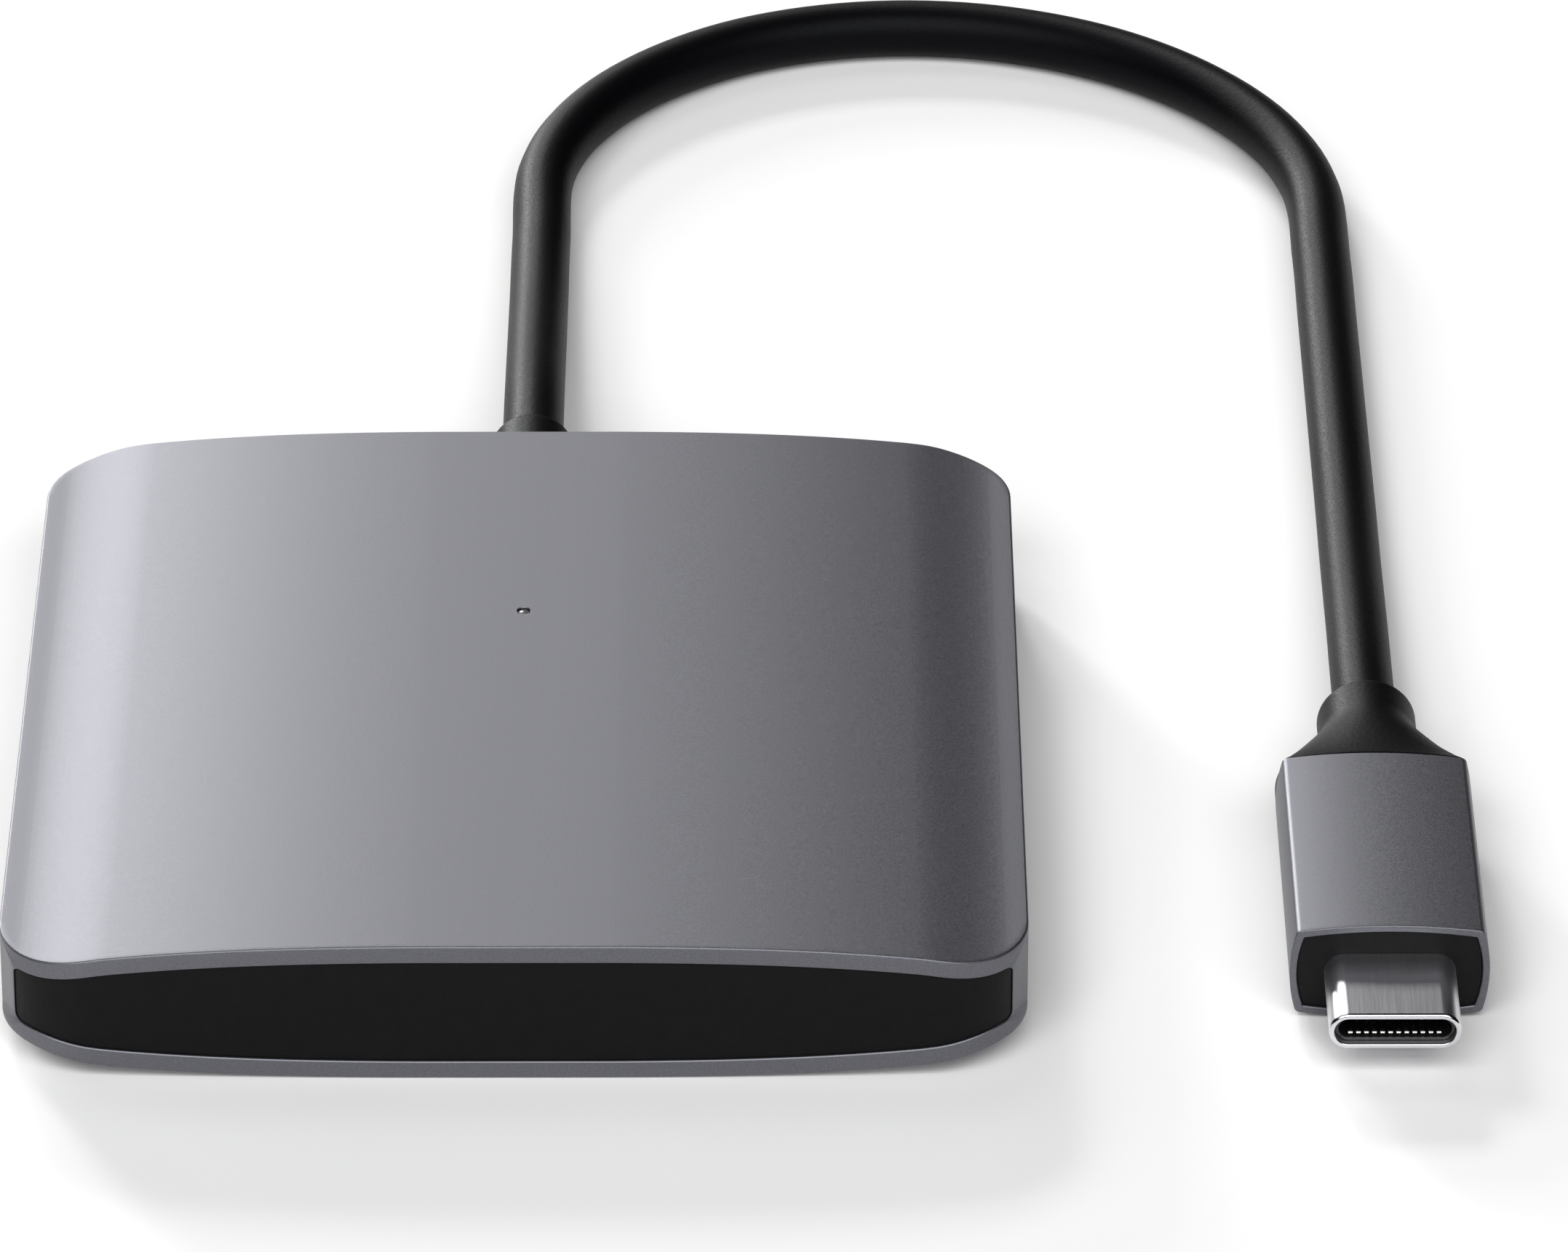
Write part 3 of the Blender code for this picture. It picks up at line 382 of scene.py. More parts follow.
def make_jacket():
    """Soft black rubber with a leathery grain."""
    colour = (0.0012, 0.0012, 0.0016)
    material = new_material("soft_black_jacket", colour, 0.48, 0.0, Specular_IOR_Level=0.09,
                            Specular_Tint=(0.85, 0.88, 1.0, 1.0))
    tree = material.node_tree
    shader = tree.nodes["Principled BSDF"]
    grain = noise_at(tree, 0.30, detail=2.0)
    fine = noise_at(tree, 0.12, detail=1.0)
    link(tree, ramp(tree, grain, scaled(colour, 0.8), scaled(colour, 1.2)), shader.inputs["Base Color"])
    link(tree, ramp(tree, fine, 0.44, 0.52), shader.inputs["Roughness"])
    add_bump(tree, [(grain, 0.022, 0.6), (fine, 0.010, 0.5)])
    return material


def make_steel(name, low, high, relief):
    """Drawn steel with fine brush lines along Y, whose roughness lies between low and high."""
    colour = (0.70, 0.70, 0.725)
    material = new_material(name, colour, (low + high) / 2, 1.0)
    tree = material.node_tree
    shader = tree.nodes["Principled BSDF"]
    lines = noise_at(tree, 0.09, detail=2.0, stretch=(1, 0.02, 1))
    link(tree, ramp(tree, lines, scaled(colour, 0.97), scaled(colour, 1.03)), shader.inputs["Base Color"])
    link(tree, ramp(tree, lines, low, high), shader.inputs["Roughness"])
    add_bump(tree, [(lines, relief, 0.3)])
    return material


def make_board_material():
    """Green solder mask with faint copper tracks under it."""
    material = new_material("solder_mask", (0.015, 0.085, 0.04), 0.38)
    tree = material.node_tree
    shader = tree.nodes["Principled BSDF"]
    tracks = node(tree, "ShaderNodeTexBrick")
    coordinates = node(tree, "ShaderNodeTexCoord")
    tracks.inputs["Scale"].default_value = 900.0
    tracks.inputs["Mortar Size"].default_value = 0.06
    tracks.inputs["Color1"].default_value = (0.012, 0.075, 0.035, 1.0)
    tracks.inputs["Color2"].default_value = (0.016, 0.088, 0.042, 1.0)
    tracks.inputs["Mortar"].default_value = (0.03, 0.14, 0.06, 1.0)
    link(tree, coordinates.outputs["Object"], tracks.inputs["Vector"])
    link(tree, tracks.outputs["Color"], shader.inputs["Base Color"])
    add_bump(tree, [(tracks.outputs["Fac"], 0.02, 0.4)])
    return material


def make_materials():
    return {
        "aluminium": make_aluminium(),
        "panel": textured("matte_black_plastic", (0.0030, 0.0031, 0.0035), 0.5, 0.0, 0.12, 0.12, 0.05, 0.10,
                          Specular_IOR_Level=0.12),
        "insert": textured("plug_face_plastic", (0.0040, 0.0041, 0.0046), 0.5, 0.0, 0.10, 0.12, 0.05, 0.08,
                           Specular_IOR_Level=0.15),
        "jacket": make_jacket(),
        "steel": make_steel("drawn_steel", 0.31, 0.34, 0.0004),
        "lip": make_steel("polished_lip", 0.11, 0.14, 0.0003),
        "gold": textured("plated_contact", (0.66, 0.65, 0.63), 0.24, 1.0, 0.05, 0.05, 0.04, 0.05),
        "lens": textured("smoked_lens", (0.10, 0.10, 0.105), 0.24, 0.0, 0.2, 0.1, 0.02, 0.02, Coat_Weight=0.8,
                         Specular_IOR_Level=0.9),
        "lining": textured("connector_insulator", (0.010, 0.010, 0.011), 0.26, 0.0, 0.08, 0.1, 0.04, 0.04),
        "tray": textured("tray_plastic", (0.03, 0.03, 0.032), 0.55, 0.0, 0.25, 0.1, 0.05, 0.1),
        "board": make_board_material(),
        "chip": textured("chip_resin", (0.02, 0.02, 0.021), 0.5, 0.0, 0.08, 0.12, 0.05, 0.12),
        "pad": textured("silicone_pad", (0.28, 0.31, 0.36), 0.75, 0.0, 0.3, 0.08, 0.05, 0.12),
        "ferrite": textured("ferrite_core", (0.09, 0.09, 0.10), 0.6, 0.0, 0.15, 0.15, 0.06, 0.15),
        "tantalum": textured("capacitor_resin", (0.50, 0.33, 0.08), 0.45, 0.0, 0.2, 0.06, 0.04, 0.08),
        "red": textured("red_insulation", (0.42, 0.03, 0.02), 0.45, 0.0, 0.2, 0.06, 0.04, 0.06),
        "white": textured("white_insulation", (0.72, 0.72, 0.69), 0.45, 0.0, 0.2, 0.04, 0.04, 0.06),
        "floor": textured("studio_floor", (0.93, 0.93, 0.93), 0.7, 0.0, 4.0, 0.004, 0.02, 0.001),
    }


# ---------------------------------------------------------------- mesh helpers

def add_mesh(name, vertices, faces, sharp=30):
    """A closed mesh from points in millimetres, with its faces turned outwards and smooth shading."""
    mesh = bpy.data.meshes.new(name)
    mesh.from_pydata([Vector(point) * MM for point in vertices], [], faces)
    shape = bmesh.new()
    shape.from_mesh(mesh)
    bmesh.ops.recalc_face_normals(shape, faces=shape.faces)
    shape.to_mesh(mesh)
    shape.free()
    mesh.shade_smooth()
    mesh.set_sharp_from_angle(angle=math.radians(sharp))
    piece = bpy.data.objects.new(name, mesh)
    bpy.context.scene.collection.objects.link(piece)
    return piece


def weigh_normals(piece):
    """Lets the large faces set the shading beside a small rounding."""
    modifier = piece.modifiers.new("weighted_normals", "WEIGHTED_NORMAL")
    modifier.keep_sharp = True
    modifier.weight = 80


def ring_walls(start, ring_count, points, wrap):
    """Quads between rings that follow each other in the vertex list."""
    faces = []
    for level in range(ring_count if wrap else ring_count - 1):
        below = start + level * points
        above = start + ((level + 1) % ring_count) * points
        for i in range(points):
            j = (i + 1) % points
            faces.append((below + i, below + j, above + j, above + i))
    return faces


def loft(name, rings, wrap=False, sharp=30):
    """Joins rings of equally many points. The ends are capped, or the last ring meets the first."""
    points = len(rings[0])
    vertices = [point for ring in rings for point in ring]
    faces = ring_walls(0, len(rings), points, wrap)
    if not wrap:
        last = (len(rings) - 1) * points
        faces.append(tuple(reversed(range(points))))
        faces.append(tuple(range(last, last + points)))
    return add_mesh(name, vertices, faces, sharp)


def many_lofts(name, parts, sharp=30):
    """Several capped lofts in one piece, each a list of rings."""
    vertices = []
    faces = []
    for rings in parts:
        start, points = len(vertices), len(rings[0])
        vertices += [point for ring in rings for point in ring]
        faces += ring_walls(start, len(rings), points, False)
        last = start + (len(rings) - 1) * points
        faces.append(tuple(reversed(range(start, start + points))))
        faces.append(tuple(range(last, last + points)))
    return add_mesh(name, vertices, faces, sharp)


def circle(radius, segments=48):
    step = 2 * math.pi / segments
    return [(radius * math.cos(i * step), radius * math.sin(i * step)) for i in range(segments)]


def stadium(width, height, steps=14):
    """A slot outline with round ends, anticlockwise from its lower right."""
    radius = height / 2
    flat = width / 2 - radius
    points = []
    for side, start in ((1, -90), (-1, 90)):
        for step in range(steps + 1):
            angle = math.radians(start + 180 * step / steps)
            points.append((side * flat + radius * math.cos(angle), radius * math.sin(angle)))
    return points


def cut(piece, cutter):
    """Takes the cutter's volume out of the piece for good, then removes the cutter."""
    modifier = piece.modifiers.new("cut", "BOOLEAN")
    modifier.operation = "DIFFERENCE"
    modifier.solver = "EXACT"
    modifier.object = cutter
    graph = bpy.context.evaluated_depsgraph_get()
    mesh = bpy.data.meshes.new_from_object(piece.evaluated_get(graph))
    piece.modifiers.clear()
    piece.data = mesh
    bpy.data.objects.remove(cutter)


def place(piece, material, slot, *nodes):
    """Gives a finished piece its material, hides the CAD nodes it stands for and attaches it to its body; the
    slot argument is not used.
    """
    piece.data.materials.append(material)
    if nodes:
        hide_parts(*nodes)
    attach(piece, "root")
    return piece


def arc_steps(count):
    """Sine and versine pairs from 0 to a quarter turn: how far a rounding has gone in and along."""
    angles = [math.pi / 2 * step / count for step in range(count + 1)]
    return [(math.sin(angle), 1 - math.cos(angle)) for angle in angles]


def smooth_between(t, start, end, start_slope, end_slope):
    rise = t * t * (3 - 2 * t)
    return start + (end - start) * rise + start_slope * t * (1 - t) ** 2 - end_slope * t * t * (1 - t)


# ---------------------------------------------------------------- the hub's section and outline

def surface_drop(x):
    """How far the top surface has fallen at distance x from the middle."""
    x = abs(x)
    cubes = DOME_HALF ** 3 - FLAT_HALF ** 3
    if x <= FLAT_HALF:
        return 0.0
    if x <= DOME_HALF:
        return DOME_DROP * (x ** 3 - FLAT_HALF ** 3) / cubes
    if x <= SHOULDER_HALF:
        run = SHOULDER_HALF - DOME_HALF
        dome_slope = 3 * DOME_DROP * DOME_HALF ** 2 / cubes
        t = (x - DOME_HALF) / run
        return smooth_between(t, DOME_DROP, EDGE_DROP, dome_slope * run, EDGE_SLOPE * run)
    return EDGE_DROP + EDGE_SLOPE * (x - SHOULDER_HALF)


def half_height(x):
    return MID_Z - surface_drop(x)


def past_corner(x):
    """How far x lies past the start of the plan's round corner."""
    return min(max(abs(x) - (HALF_WIDTH - PLAN_RADIUS), 0.0), PLAN_RADIUS)


def plan_inset(x):
    past = past_corner(x)
    return PLAN_RADIUS - math.sqrt(PLAN_RADIUS ** 2 - past ** 2)


def front_y(x, depth=0.0):
    return -HALF_DEPTH + plan_inset(x) + depth


def hub_stations():
    """X places across the hub: even over the dome, close together over the shoulders and corners."""
    dome_steps, shoulder_steps = 22, 14
    dome, shoulder = DOME_HALF - FLAT_HALF, SHOULDER_HALF - DOME_HALF
    right = [FLAT_HALF / 2, FLAT_HALF]
    right += [FLAT_HALF + dome * step / dome_steps for step in range(1, dome_steps + 1)]
    right += [DOME_HALF + shoulder * step / shoulder_steps for step in range(1, shoulder_steps + 1)]
    right += [HALF_WIDTH - PLAN_RADIUS * (1 - math.sin(math.radians(angle))) for angle in range(5, 86, 5)]
    right = sorted(right)
    kept = [0.0]
    for x in right:
        if x - kept[-1] > 0.05:
            kept.append(x)
    kept.append(HALF_WIDTH)
    return [-x for x in reversed(kept[1:])] + kept


STATIONS = hub_stations()


def rim_row(inset, drop, side):
    """The top edge's front row, moved in along the plan's normal and down. side is 1 for the top."""
    row = []
    for x in STATIONS:
        lean = math.copysign(past_corner(x) / PLAN_RADIUS, x)
        facing = math.sqrt(1 - lean * lean)
        new_x = x - inset * lean
        row.append((new_x, front_y(x) + inset * facing, MID_Z + side * (half_height(new_x) - drop)))
    return row


def mirrored(row):
    return [(x, -y, z) for x, y, z in reversed(row)]


def mouth_chain(side_inset, top_inset, rounding):
    """Pairs of x and half height for a section inset from the body's, as many as there are stations."""
    limit = HALF_WIDTH - side_inset
    corner_steps = 6
    outer = STATIONS[corner_steps:-corner_steps]
    scale = (limit - rounding) / outer[-1]
    middle = [(x * scale, half_height(x * scale) - top_inset) for x in outer]
    edge_x, edge_half = middle[-1]
    corner = [(edge_x + rounding * along, edge_half - rounding * down)
              for along, down in arc_steps(corner_steps)[1:]]
    left = [(-x, half) for x, half in reversed(corner)]
    return left + middle + corner


def chain_loop(chain, depth, end=-1):
    """A chain's closed loop at one end of the hub: the top to the right, then the bottom back."""
    top = [(x, -end * front_y(x, depth), MID_Z + half) for x, half in chain]
    bottom = [(x, -end * front_y(x, depth), MID_Z - half) for x, half in reversed(chain)]
    return top + bottom


def build_hub_sleeve(materials):
    """The extruded sleeve: skin, rounded rim, side walls, end faces and the tunnel through it."""
    count = len(STATIONS)
    rounds = [(SUPPORT + RIM_ROUND, 0.0)]
    rounds += [(RIM_ROUND * (1 - along), RIM_ROUND * down) for along, down in arc_steps(6)]
    rounds.append((0.0, RIM_ROUND + SUPPORT))
    vertices = []
    faces = []
    last_rows = []
    for side in (1, -1):
        start = len(vertices)
        for inset, drop in rounds:
            row = rim_row(inset, drop, side)
            vertices += row + mirrored(row)
        faces += ring_walls(start, len(rounds), 2 * count, False)
        for i in range(count - 1):
            faces.append((start + i, start + i + 1, start + 2 * count - 2 - i, start + 2 * count - 1 - i))
        last_rows.append(start + (len(rounds) - 1) * 2 * count)
    top, bottom = last_rows
    mouth = mouth_chain(MOUTH_SIDE, WALL_TOP, MOUTH_ROUND)
    wide = mouth_chain(MOUTH_SIDE - MOUTH_BREAK, WALL_TOP - MOUTH_BREAK, MOUTH_ROUND)
    tunnel = len(vertices)
    for chain, depth, end in ((wide, 0.0, -1), (mouth, MOUTH_BREAK, -1), (mouth, SUPPORT * 4, -1),
                              (mouth, SUPPORT * 4, 1), (mouth, MOUTH_BREAK, 1), (wide, 0.0, 1)):
        vertices += chain_loop(chain, depth, end)
    faces += ring_walls(tunnel, 6, 2 * count, False)
    front = [top + i for i in range(count)] + [bottom + count - 1 - i for i in range(count)]
    rear = [top + 2 * count - 1 - i for i in range(count)] + [bottom + count + i for i in range(count)]
    for outer, inner in ((front, tunnel), (rear, tunnel + 5 * 2 * count)):
        for i in range(2 * count):
            j = (i + 1) % (2 * count)
            faces.append((outer[i], outer[j], inner + j, inner + i))
    faces.append((top + count - 1, top + count, bottom + count, bottom + count - 1))
    faces.append((top, top + 2 * count - 1, bottom + 2 * count - 1, bottom))
    sleeve = add_mesh("hub_sleeve", vertices, faces)
    for side in (-1, 1):
        for end in (-1, 1):
            cut(sleeve, port_cutter(side, end * PORT_Y))
    cut(sleeve, led_cutter())
    sleeve.data.shade_smooth()
    sleeve.data.set_sharp_from_angle(angle=math.radians(30))
    weigh_normals(sleeve)
    return place(sleeve, materials["aluminium"], "sleeve_aluminium", "housing_sleeve")


def sideways(outline, x, centre_y, grow=0.0):
    """A socket outline, grown by the given width, standing in the plane at x."""
    ring = []
    for across, up in outline:
        length = math.hypot(across, up)
        ring.append((x, centre_y + across * (1 + grow / length), MID_Z + up * (1 + grow / length)))
    return ring


def port_cutter(side, centre_y):
    """The cut-out for one socket, wider where it breaks the sleeve's outer edge."""
    rings = []
    for inset, grow in ((-0.5, PORT_BREAK + 0.5), (PORT_BREAK, 0.0), (WALL_SIDE + 1.0, 0.0)):
        size = (PORT_SLOT[0] + 2 * grow, PORT_SLOT[1] + 2 * grow)
        rings.append(sideways(stadium(*size), side * (HALF_WIDTH - inset), centre_y))
    return loft("port_cutter", rings)


def led_cutter():
    """The indicator's hole, wider where it breaks the top face."""
    top = 2 * MID_Z
    levels = ((LED_HOLE + LED_BREAK + LED_CUT_OVER, top + LED_CUT_OVER),
              (LED_HOLE, top - LED_BREAK),
              (LED_HOLE, top - WALL_TOP - LED_CUT_PAST))
    return loft("led_cutter", [[(x, LED_Y + y, z) for x, y in circle(radius)] for radius, z in levels])


def build_panel(name, end, materials, node_name):
    """An end panel: a plate that follows the plan outline, with rounded edges."""
    side, over = MOUTH_SIDE + PANEL_GAP, WALL_TOP + PANEL_GAP
    outer = mouth_chain(side, over, MOUTH_ROUND - PANEL_GAP)
    points = 2 * len(outer)
    rings = []
    for along, down in reversed(arc_steps(5)):
        inset = PANEL_ROUND * down
        chain = mouth_chain(side + inset, over + inset, MOUTH_ROUND - PANEL_GAP - inset / 2)
        rings.append(chain_loop(chain, PANEL_RECESS + PANEL_ROUND * (1 - along), end))
    inner_inset = PANEL_ROUND + SUPPORT
    face_chain = mouth_chain(side + inner_inset, over + inner_inset, MOUTH_ROUND / 2)
    rings.insert(0, chain_loop(face_chain, PANEL_RECESS, end))
    rings.append(chain_loop(outer, PANEL_THICK, end))
    vertices = [point for ring in rings for point in ring]
    faces = ring_walls(0, len(rings), points, False)
    half = points // 2
    for start in (0, (len(rings) - 1) * points):
        for i in range(half - 1):
            faces.append((start + i, start + i + 1, start + points - 2 - i, start + points - 1 - i))
    panel = add_mesh(name, vertices, faces)
    if end > 0:
        bore = circle(GLAND_RADIUS + GLAND_CLEARANCE)
        ends = (HALF_DEPTH - 5, HALF_DEPTH + 1)
        cut(panel, loft("gland_cutter", [[(x, y, MID_Z + z) for x, z in bore] for y in ends]))
        panel.data.shade_smooth()
        panel.data.set_sharp_from_angle(angle=math.radians(30))
    weigh_normals(panel)
    return place(panel, materials["panel"], "black_plastic", node_name)


def build_lens(materials):
    """The light pipe: a broad foot under the skin, and a pin whose domed end shows in the hole."""
    top = 2 * MID_Z
    foot_top = top - WALL_TOP - LENS_FOOT_GAP
    profile = [(LENS_FOOT, foot_top - LENS_FOOT_THICK), (LENS_FOOT, foot_top - LENS_FOOT_BREAK),
               (LENS_FOOT - LENS_FOOT_BREAK, foot_top), (LENS_RADIUS, foot_top)]
    steps, tip_radius = 8, 0.004
    for step in range(steps + 1):
        angle = math.pi / 2 * step / steps
        profile.append((LENS_RADIUS * math.cos(angle) + tip_radius,
                        top - LENS_DEPTH - LENS_DOME + LENS_DOME * math.sin(angle)))
    rings = [[(x, LED_Y + y, z) for x, y in circle(radius)] for radius, z in profile]
    return place(loft("indicator_lens", rings), materials["lens"], "clear_lens", "led_light_pipe")


# ---------------------------------------------------------------- side sockets

def build_socket_shell(name, side, centre_y, materials):
    """A drawn shell, closed at its back, with a rolled lip round its mouth."""
    lip, lip_steps = SOCKET_WALL / 2, 8
    profile = [(0.0, SOCKET_DEPTH)]
    for step in range(lip_steps + 1):
        angle = math.pi * step / lip_steps
        profile.append((lip * (1 - math.cos(angle)), lip * (1 - math.sin(angle))))
    profile.append((SOCKET_WALL, SOCKET_DEPTH - SOCKET_WALL))
    rings = []
    for inset, depth in profile:
        size = (SOCKET_SIZE[0] - 2 * inset, SOCKET_SIZE[1] - 2 * inset)
        rings.append(sideways(stadium(*size), side * (SOCKET_MOUTH - depth), centre_y))
    place(loft(f"socket_shell_{name}", rings), materials["steel"], "bright_steel", f"port_shell_{name}")


def build_socket_tongue(name, side, centre_y, materials):
    """The blade in the middle of a socket, on a thicker foot, with a tapered tip."""
    blade = rounded_box_outline(*TONGUE_SIZE, TONGUE_ROUND)
    foot = rounded_box_outline(*TONGUE_FOOT, TONGUE_FOOT_ROUND)
    tip = rounded_box_outline(TONGUE_SIZE[0] - TONGUE_TIP_LESS, TONGUE_SIZE[1] - TONGUE_TIP_LESS,
                              TONGUE_TIP_ROUND)
    foot_end = TONGUE_BACK + TONGUE_FOOT_LENGTH
    levels = ((foot, TONGUE_BACK), (foot, foot_end), (blade, foot_end), (blade, TONGUE_TIP - TONGUE_TAPER),
              (tip, TONGUE_TIP))
    rings = [sideways(outline, side * x, centre_y) for outline, x in levels]
    place(loft(f"socket_tongue_{name}", rings), materials["tray"], "tray_plastic", f"port_tongue_{name}")


def build_socket_contacts(name, side, centre_y, materials):
    """Flat contacts on both faces of a tongue, which dip into it near its tip."""
    half = PIN_WIDTH / 2
    levels = ((TONGUE_BACK + 1.7, PIN_PROUD), (TONGUE_TIP - 0.5, PIN_PROUD),
              (TONGUE_TIP - 0.35, PIN_TIP_PROUD))
    pins = []
    for index in range(PIN_COUNT):
        across = centre_y + (index - (PIN_COUNT - 1) / 2) * PIN_PITCH
        for face in (-1, 1):
            z = MID_Z + face * TONGUE_SIZE[1] / 2
            rings = []
            for x, proud in levels:
                low, high = z - face * PIN_SUNK, z + face * proud
                rings.append([(side * x, across - half, low), (side * x, across + half, low),
                              (side * x, across + half, high), (side * x, across - half, high)])
            pins.append(rings)
    place(many_lofts(f"socket_contacts_{name}", pins), materials["gold"], "contact_gold")


def rounded_box_outline(width, height, radius, steps=5):
    """A rectangle with round corners, anticlockwise."""
    points = []
    for side_x, side_y, start in ((1, 1, 0), (-1, 1, 90), (-1, -1, 180), (1, -1, 270)):
        for step in range(steps + 1):
            angle = math.radians(start + 90 * step / steps)
            points.append((side_x * (width / 2 - radius) + radius * math.cos(angle),
                           side_y * (height / 2 - radius) + radius * math.sin(angle)))
    return points


def build_sockets(materials):
    for side, word in ((-1, "left"), (1, "right")):
        for end, at in ((-1, "front"), (1, "rear")):
            for build in (build_socket_shell, build_socket_tongue, build_socket_contacts):
                build(f"{word}_{at}", side, end * PORT_Y, materials)


# ---------------------------------------------------------------- cable and gland

def spline_through(points, step):
    """Points about step apart on a Catmull-Rom curve through the given points."""
    points = [Vector(point) for point in points]
    padded = [2 * points[0] - points[1], *points, 2 * points[-1] - points[-2]]
    result = []
    for k in range(1, len(padded) - 2):
        p0, p1, p2, p3 = padded[k - 1:k + 3]
        samples = max(1, round((p2 - p1).length / step))
        for i in range(samples):
            t = i / samples
            result.append(0.5 * (2 * p1 + (p2 - p0) * t + (2 * p0 - 5 * p1 + 4 * p2 - p3) * t * t
                                 + (3 * p1 - p0 - 3 * p2 + p3) * t ** 3))
    result.append(points[-1])
    return result


def line_length(points):
    return sum((b - a).length for a, b in zip(points, points[1:]))


def build_cable(materials):
    points = spline_through(CABLE_ROUTE, 1.2)
    data = bpy.data.curves.new("cable_cord", "CURVE")
    data.dimensions = "3D"
    data.bevel_depth = CABLE_RADIUS * MM
    data.bevel_resolution = 10
    data.use_fill_caps = True
    spline = data.splines.new("POLY")
    spline.points.add(len(points) - 1)
    for spline_point, spot in zip(spline.points, points):
        spline_point.co = (*(spot * MM), 1.0)
    spline.use_smooth = True
    cable = bpy.data.objects.new("cable_cord", data)
    bpy.context.scene.collection.objects.link(cable)
    place(cable, materials["jacket"], "cable_jacket", "cable", "cable_tail", "plug_cable_tail")
    return cable, line_length(points) * MM


def turned_along_y(name, profile, centre, segments=64, wrap=False):
    """Turns (radius, y) points about a line along Y."""
    rings = [[(centre[0] + x, y, centre[1] + z) for x, z in circle(radius, segments)]
             for radius, y in profile]
    return loft(name, rings, wrap)


def build_gland(materials):
    """The collar that holds the cable in the rear panel."""
    end, face = GLAND_EXIT[1], HALF_DEPTH - PANEL_RECESS
    bore = CABLE_RADIUS + CABLE_CLEARANCE
    rim, bore_break = 0.18, 0.12
    flange = GLAND_RADIUS + GLAND_FLANGE_WIDER
    start, shoulder = GLAND_FLANGE
    profile = [(bore, start), (flange, start), (flange, shoulder), (GLAND_RADIUS, shoulder),
               (GLAND_RADIUS, face + SUPPORT), (GLAND_RADIUS, end - rim - SUPPORT)]
    profile += [(GLAND_RADIUS - rim * down, end - rim + rim * along) for along, down in arc_steps(5)]
    profile += [(bore + bore_break, end), (bore, end - bore_break)]
    return place(turned_along_y("gland_collar", profile, (0.0, MID_Z), wrap=True),
                 materials["jacket"], "cable_jacket", "cable_gland")


# ---------------------------------------------------------------- plug

def plug_outline(inset, rounding=None):
    """The plug's bowed section, inset from its outer surface, anticlockwise from the right."""
    corner = Vector((PLUG_CORNER[0] - inset, PLUG_CORNER[1] - inset))
    middle = Vector((PLUG_MIDDLE[0] - inset, PLUG_MIDDLE[1] - inset))
    rounding = max(PLUG_ROUND - inset, 0.08) if rounding is None else rounding
    up = Vector((-2 * (middle.x - corner.x) / corner.y, 1.0)).normalized()
    across = Vector((-1.0, 2 * (middle.y - corner.y) / corner.x)).normalized()
    turn = up.angle(across)
    reach = rounding * math.tan(turn / 2)
    first, last = corner - up * reach, corner + across * reach
    side_steps, turn_steps, top_steps = 12, 8, 16
    quarter = []
    for step in range(side_steps):
        y = first.y * step / side_steps
        quarter.append((middle.x - (middle.x - corner.x) * (y / corner.y) ** 2, y))
    inward = Vector((-up.y, up.x))
    centre = first + inward * rounding
    spoke = -inward
    for step in range(turn_steps + 1):
        angle = turn * step / turn_steps
        quarter.append((centre.x + rounding * (spoke.x * math.cos(angle) - spoke.y * math.sin(angle)),
                        centre.y + rounding * (spoke.x * math.sin(angle) + spoke.y * math.cos(angle))))
    for step in range(1, top_steps):
        x = last.x * (1 - step / top_steps)
        quarter.append((x, middle.y - (middle.y - corner.y) * (x / corner.x) ** 2))
    top = quarter + [(0.0, middle.y)] + [(-x, y) for x, y in reversed(quarter)]
    bottom = [(x, -y) for x, y in reversed(top[1:-1])]
    return top + bottom


def at_level(outline, y):
    return [(PLUG_X + x, y, PLUG_Z + up) for x, up in outline]


def relief_width(y):
    """Half width of the strain relief: full beside the sleeve, then a neck down to the round collar."""
    neck_start, neck_end = RELIEF_NECK
    t = min(max((y - neck_start) / (neck_end - neck_start), 0.0), 1.0)
    return smooth_between(t, PLUG_MIDDLE[0], RELIEF_RADIUS, 0.0, 0.0)


def relief_ring(y, inset=0.0):
    """The section at y: the plug's outline, which softens to an ellipse and ends as a circle."""
    softening = min(max((y - SLEEVE_REAR) / (RELIEF_OVAL - SLEEVE_REAR), 0.0), 1.0)
    softening = softening * (2 - softening)
    fall = min(max((y - SLEEVE_REAR) / (RELIEF_NECK[1] - SLEEVE_REAR), 0.0), 1.0)
    width = relief_width(y) - inset
    height = PLUG_MIDDLE[1] + (RELIEF_RADIUS - PLUG_MIDDLE[1]) * fall - inset
    ring = []
    for x, up in plug_outline(0.0):
        angle = math.atan2(up / PLUG_MIDDLE[1], x / PLUG_MIDDLE[0])
        flat = (x * width / PLUG_MIDDLE[0], up * height / PLUG_MIDDLE[1])
        oval = (width * math.cos(angle), height * math.sin(angle))
        ring.append((flat[0] + (oval[0] - flat[0]) * softening, flat[1] + (oval[1] - flat[1]) * softening))
    return at_level(ring, y)


def round_ring(radius, y):
    """A circle round the plug's line with a point for each point of the plug's outline."""
    angles = [math.atan2(up / PLUG_MIDDLE[1], x / PLUG_MIDDLE[0]) for x, up in plug_outline(0.0)]
    return at_level([(radius * math.cos(angle), radius * math.sin(angle)) for angle in angles], y)


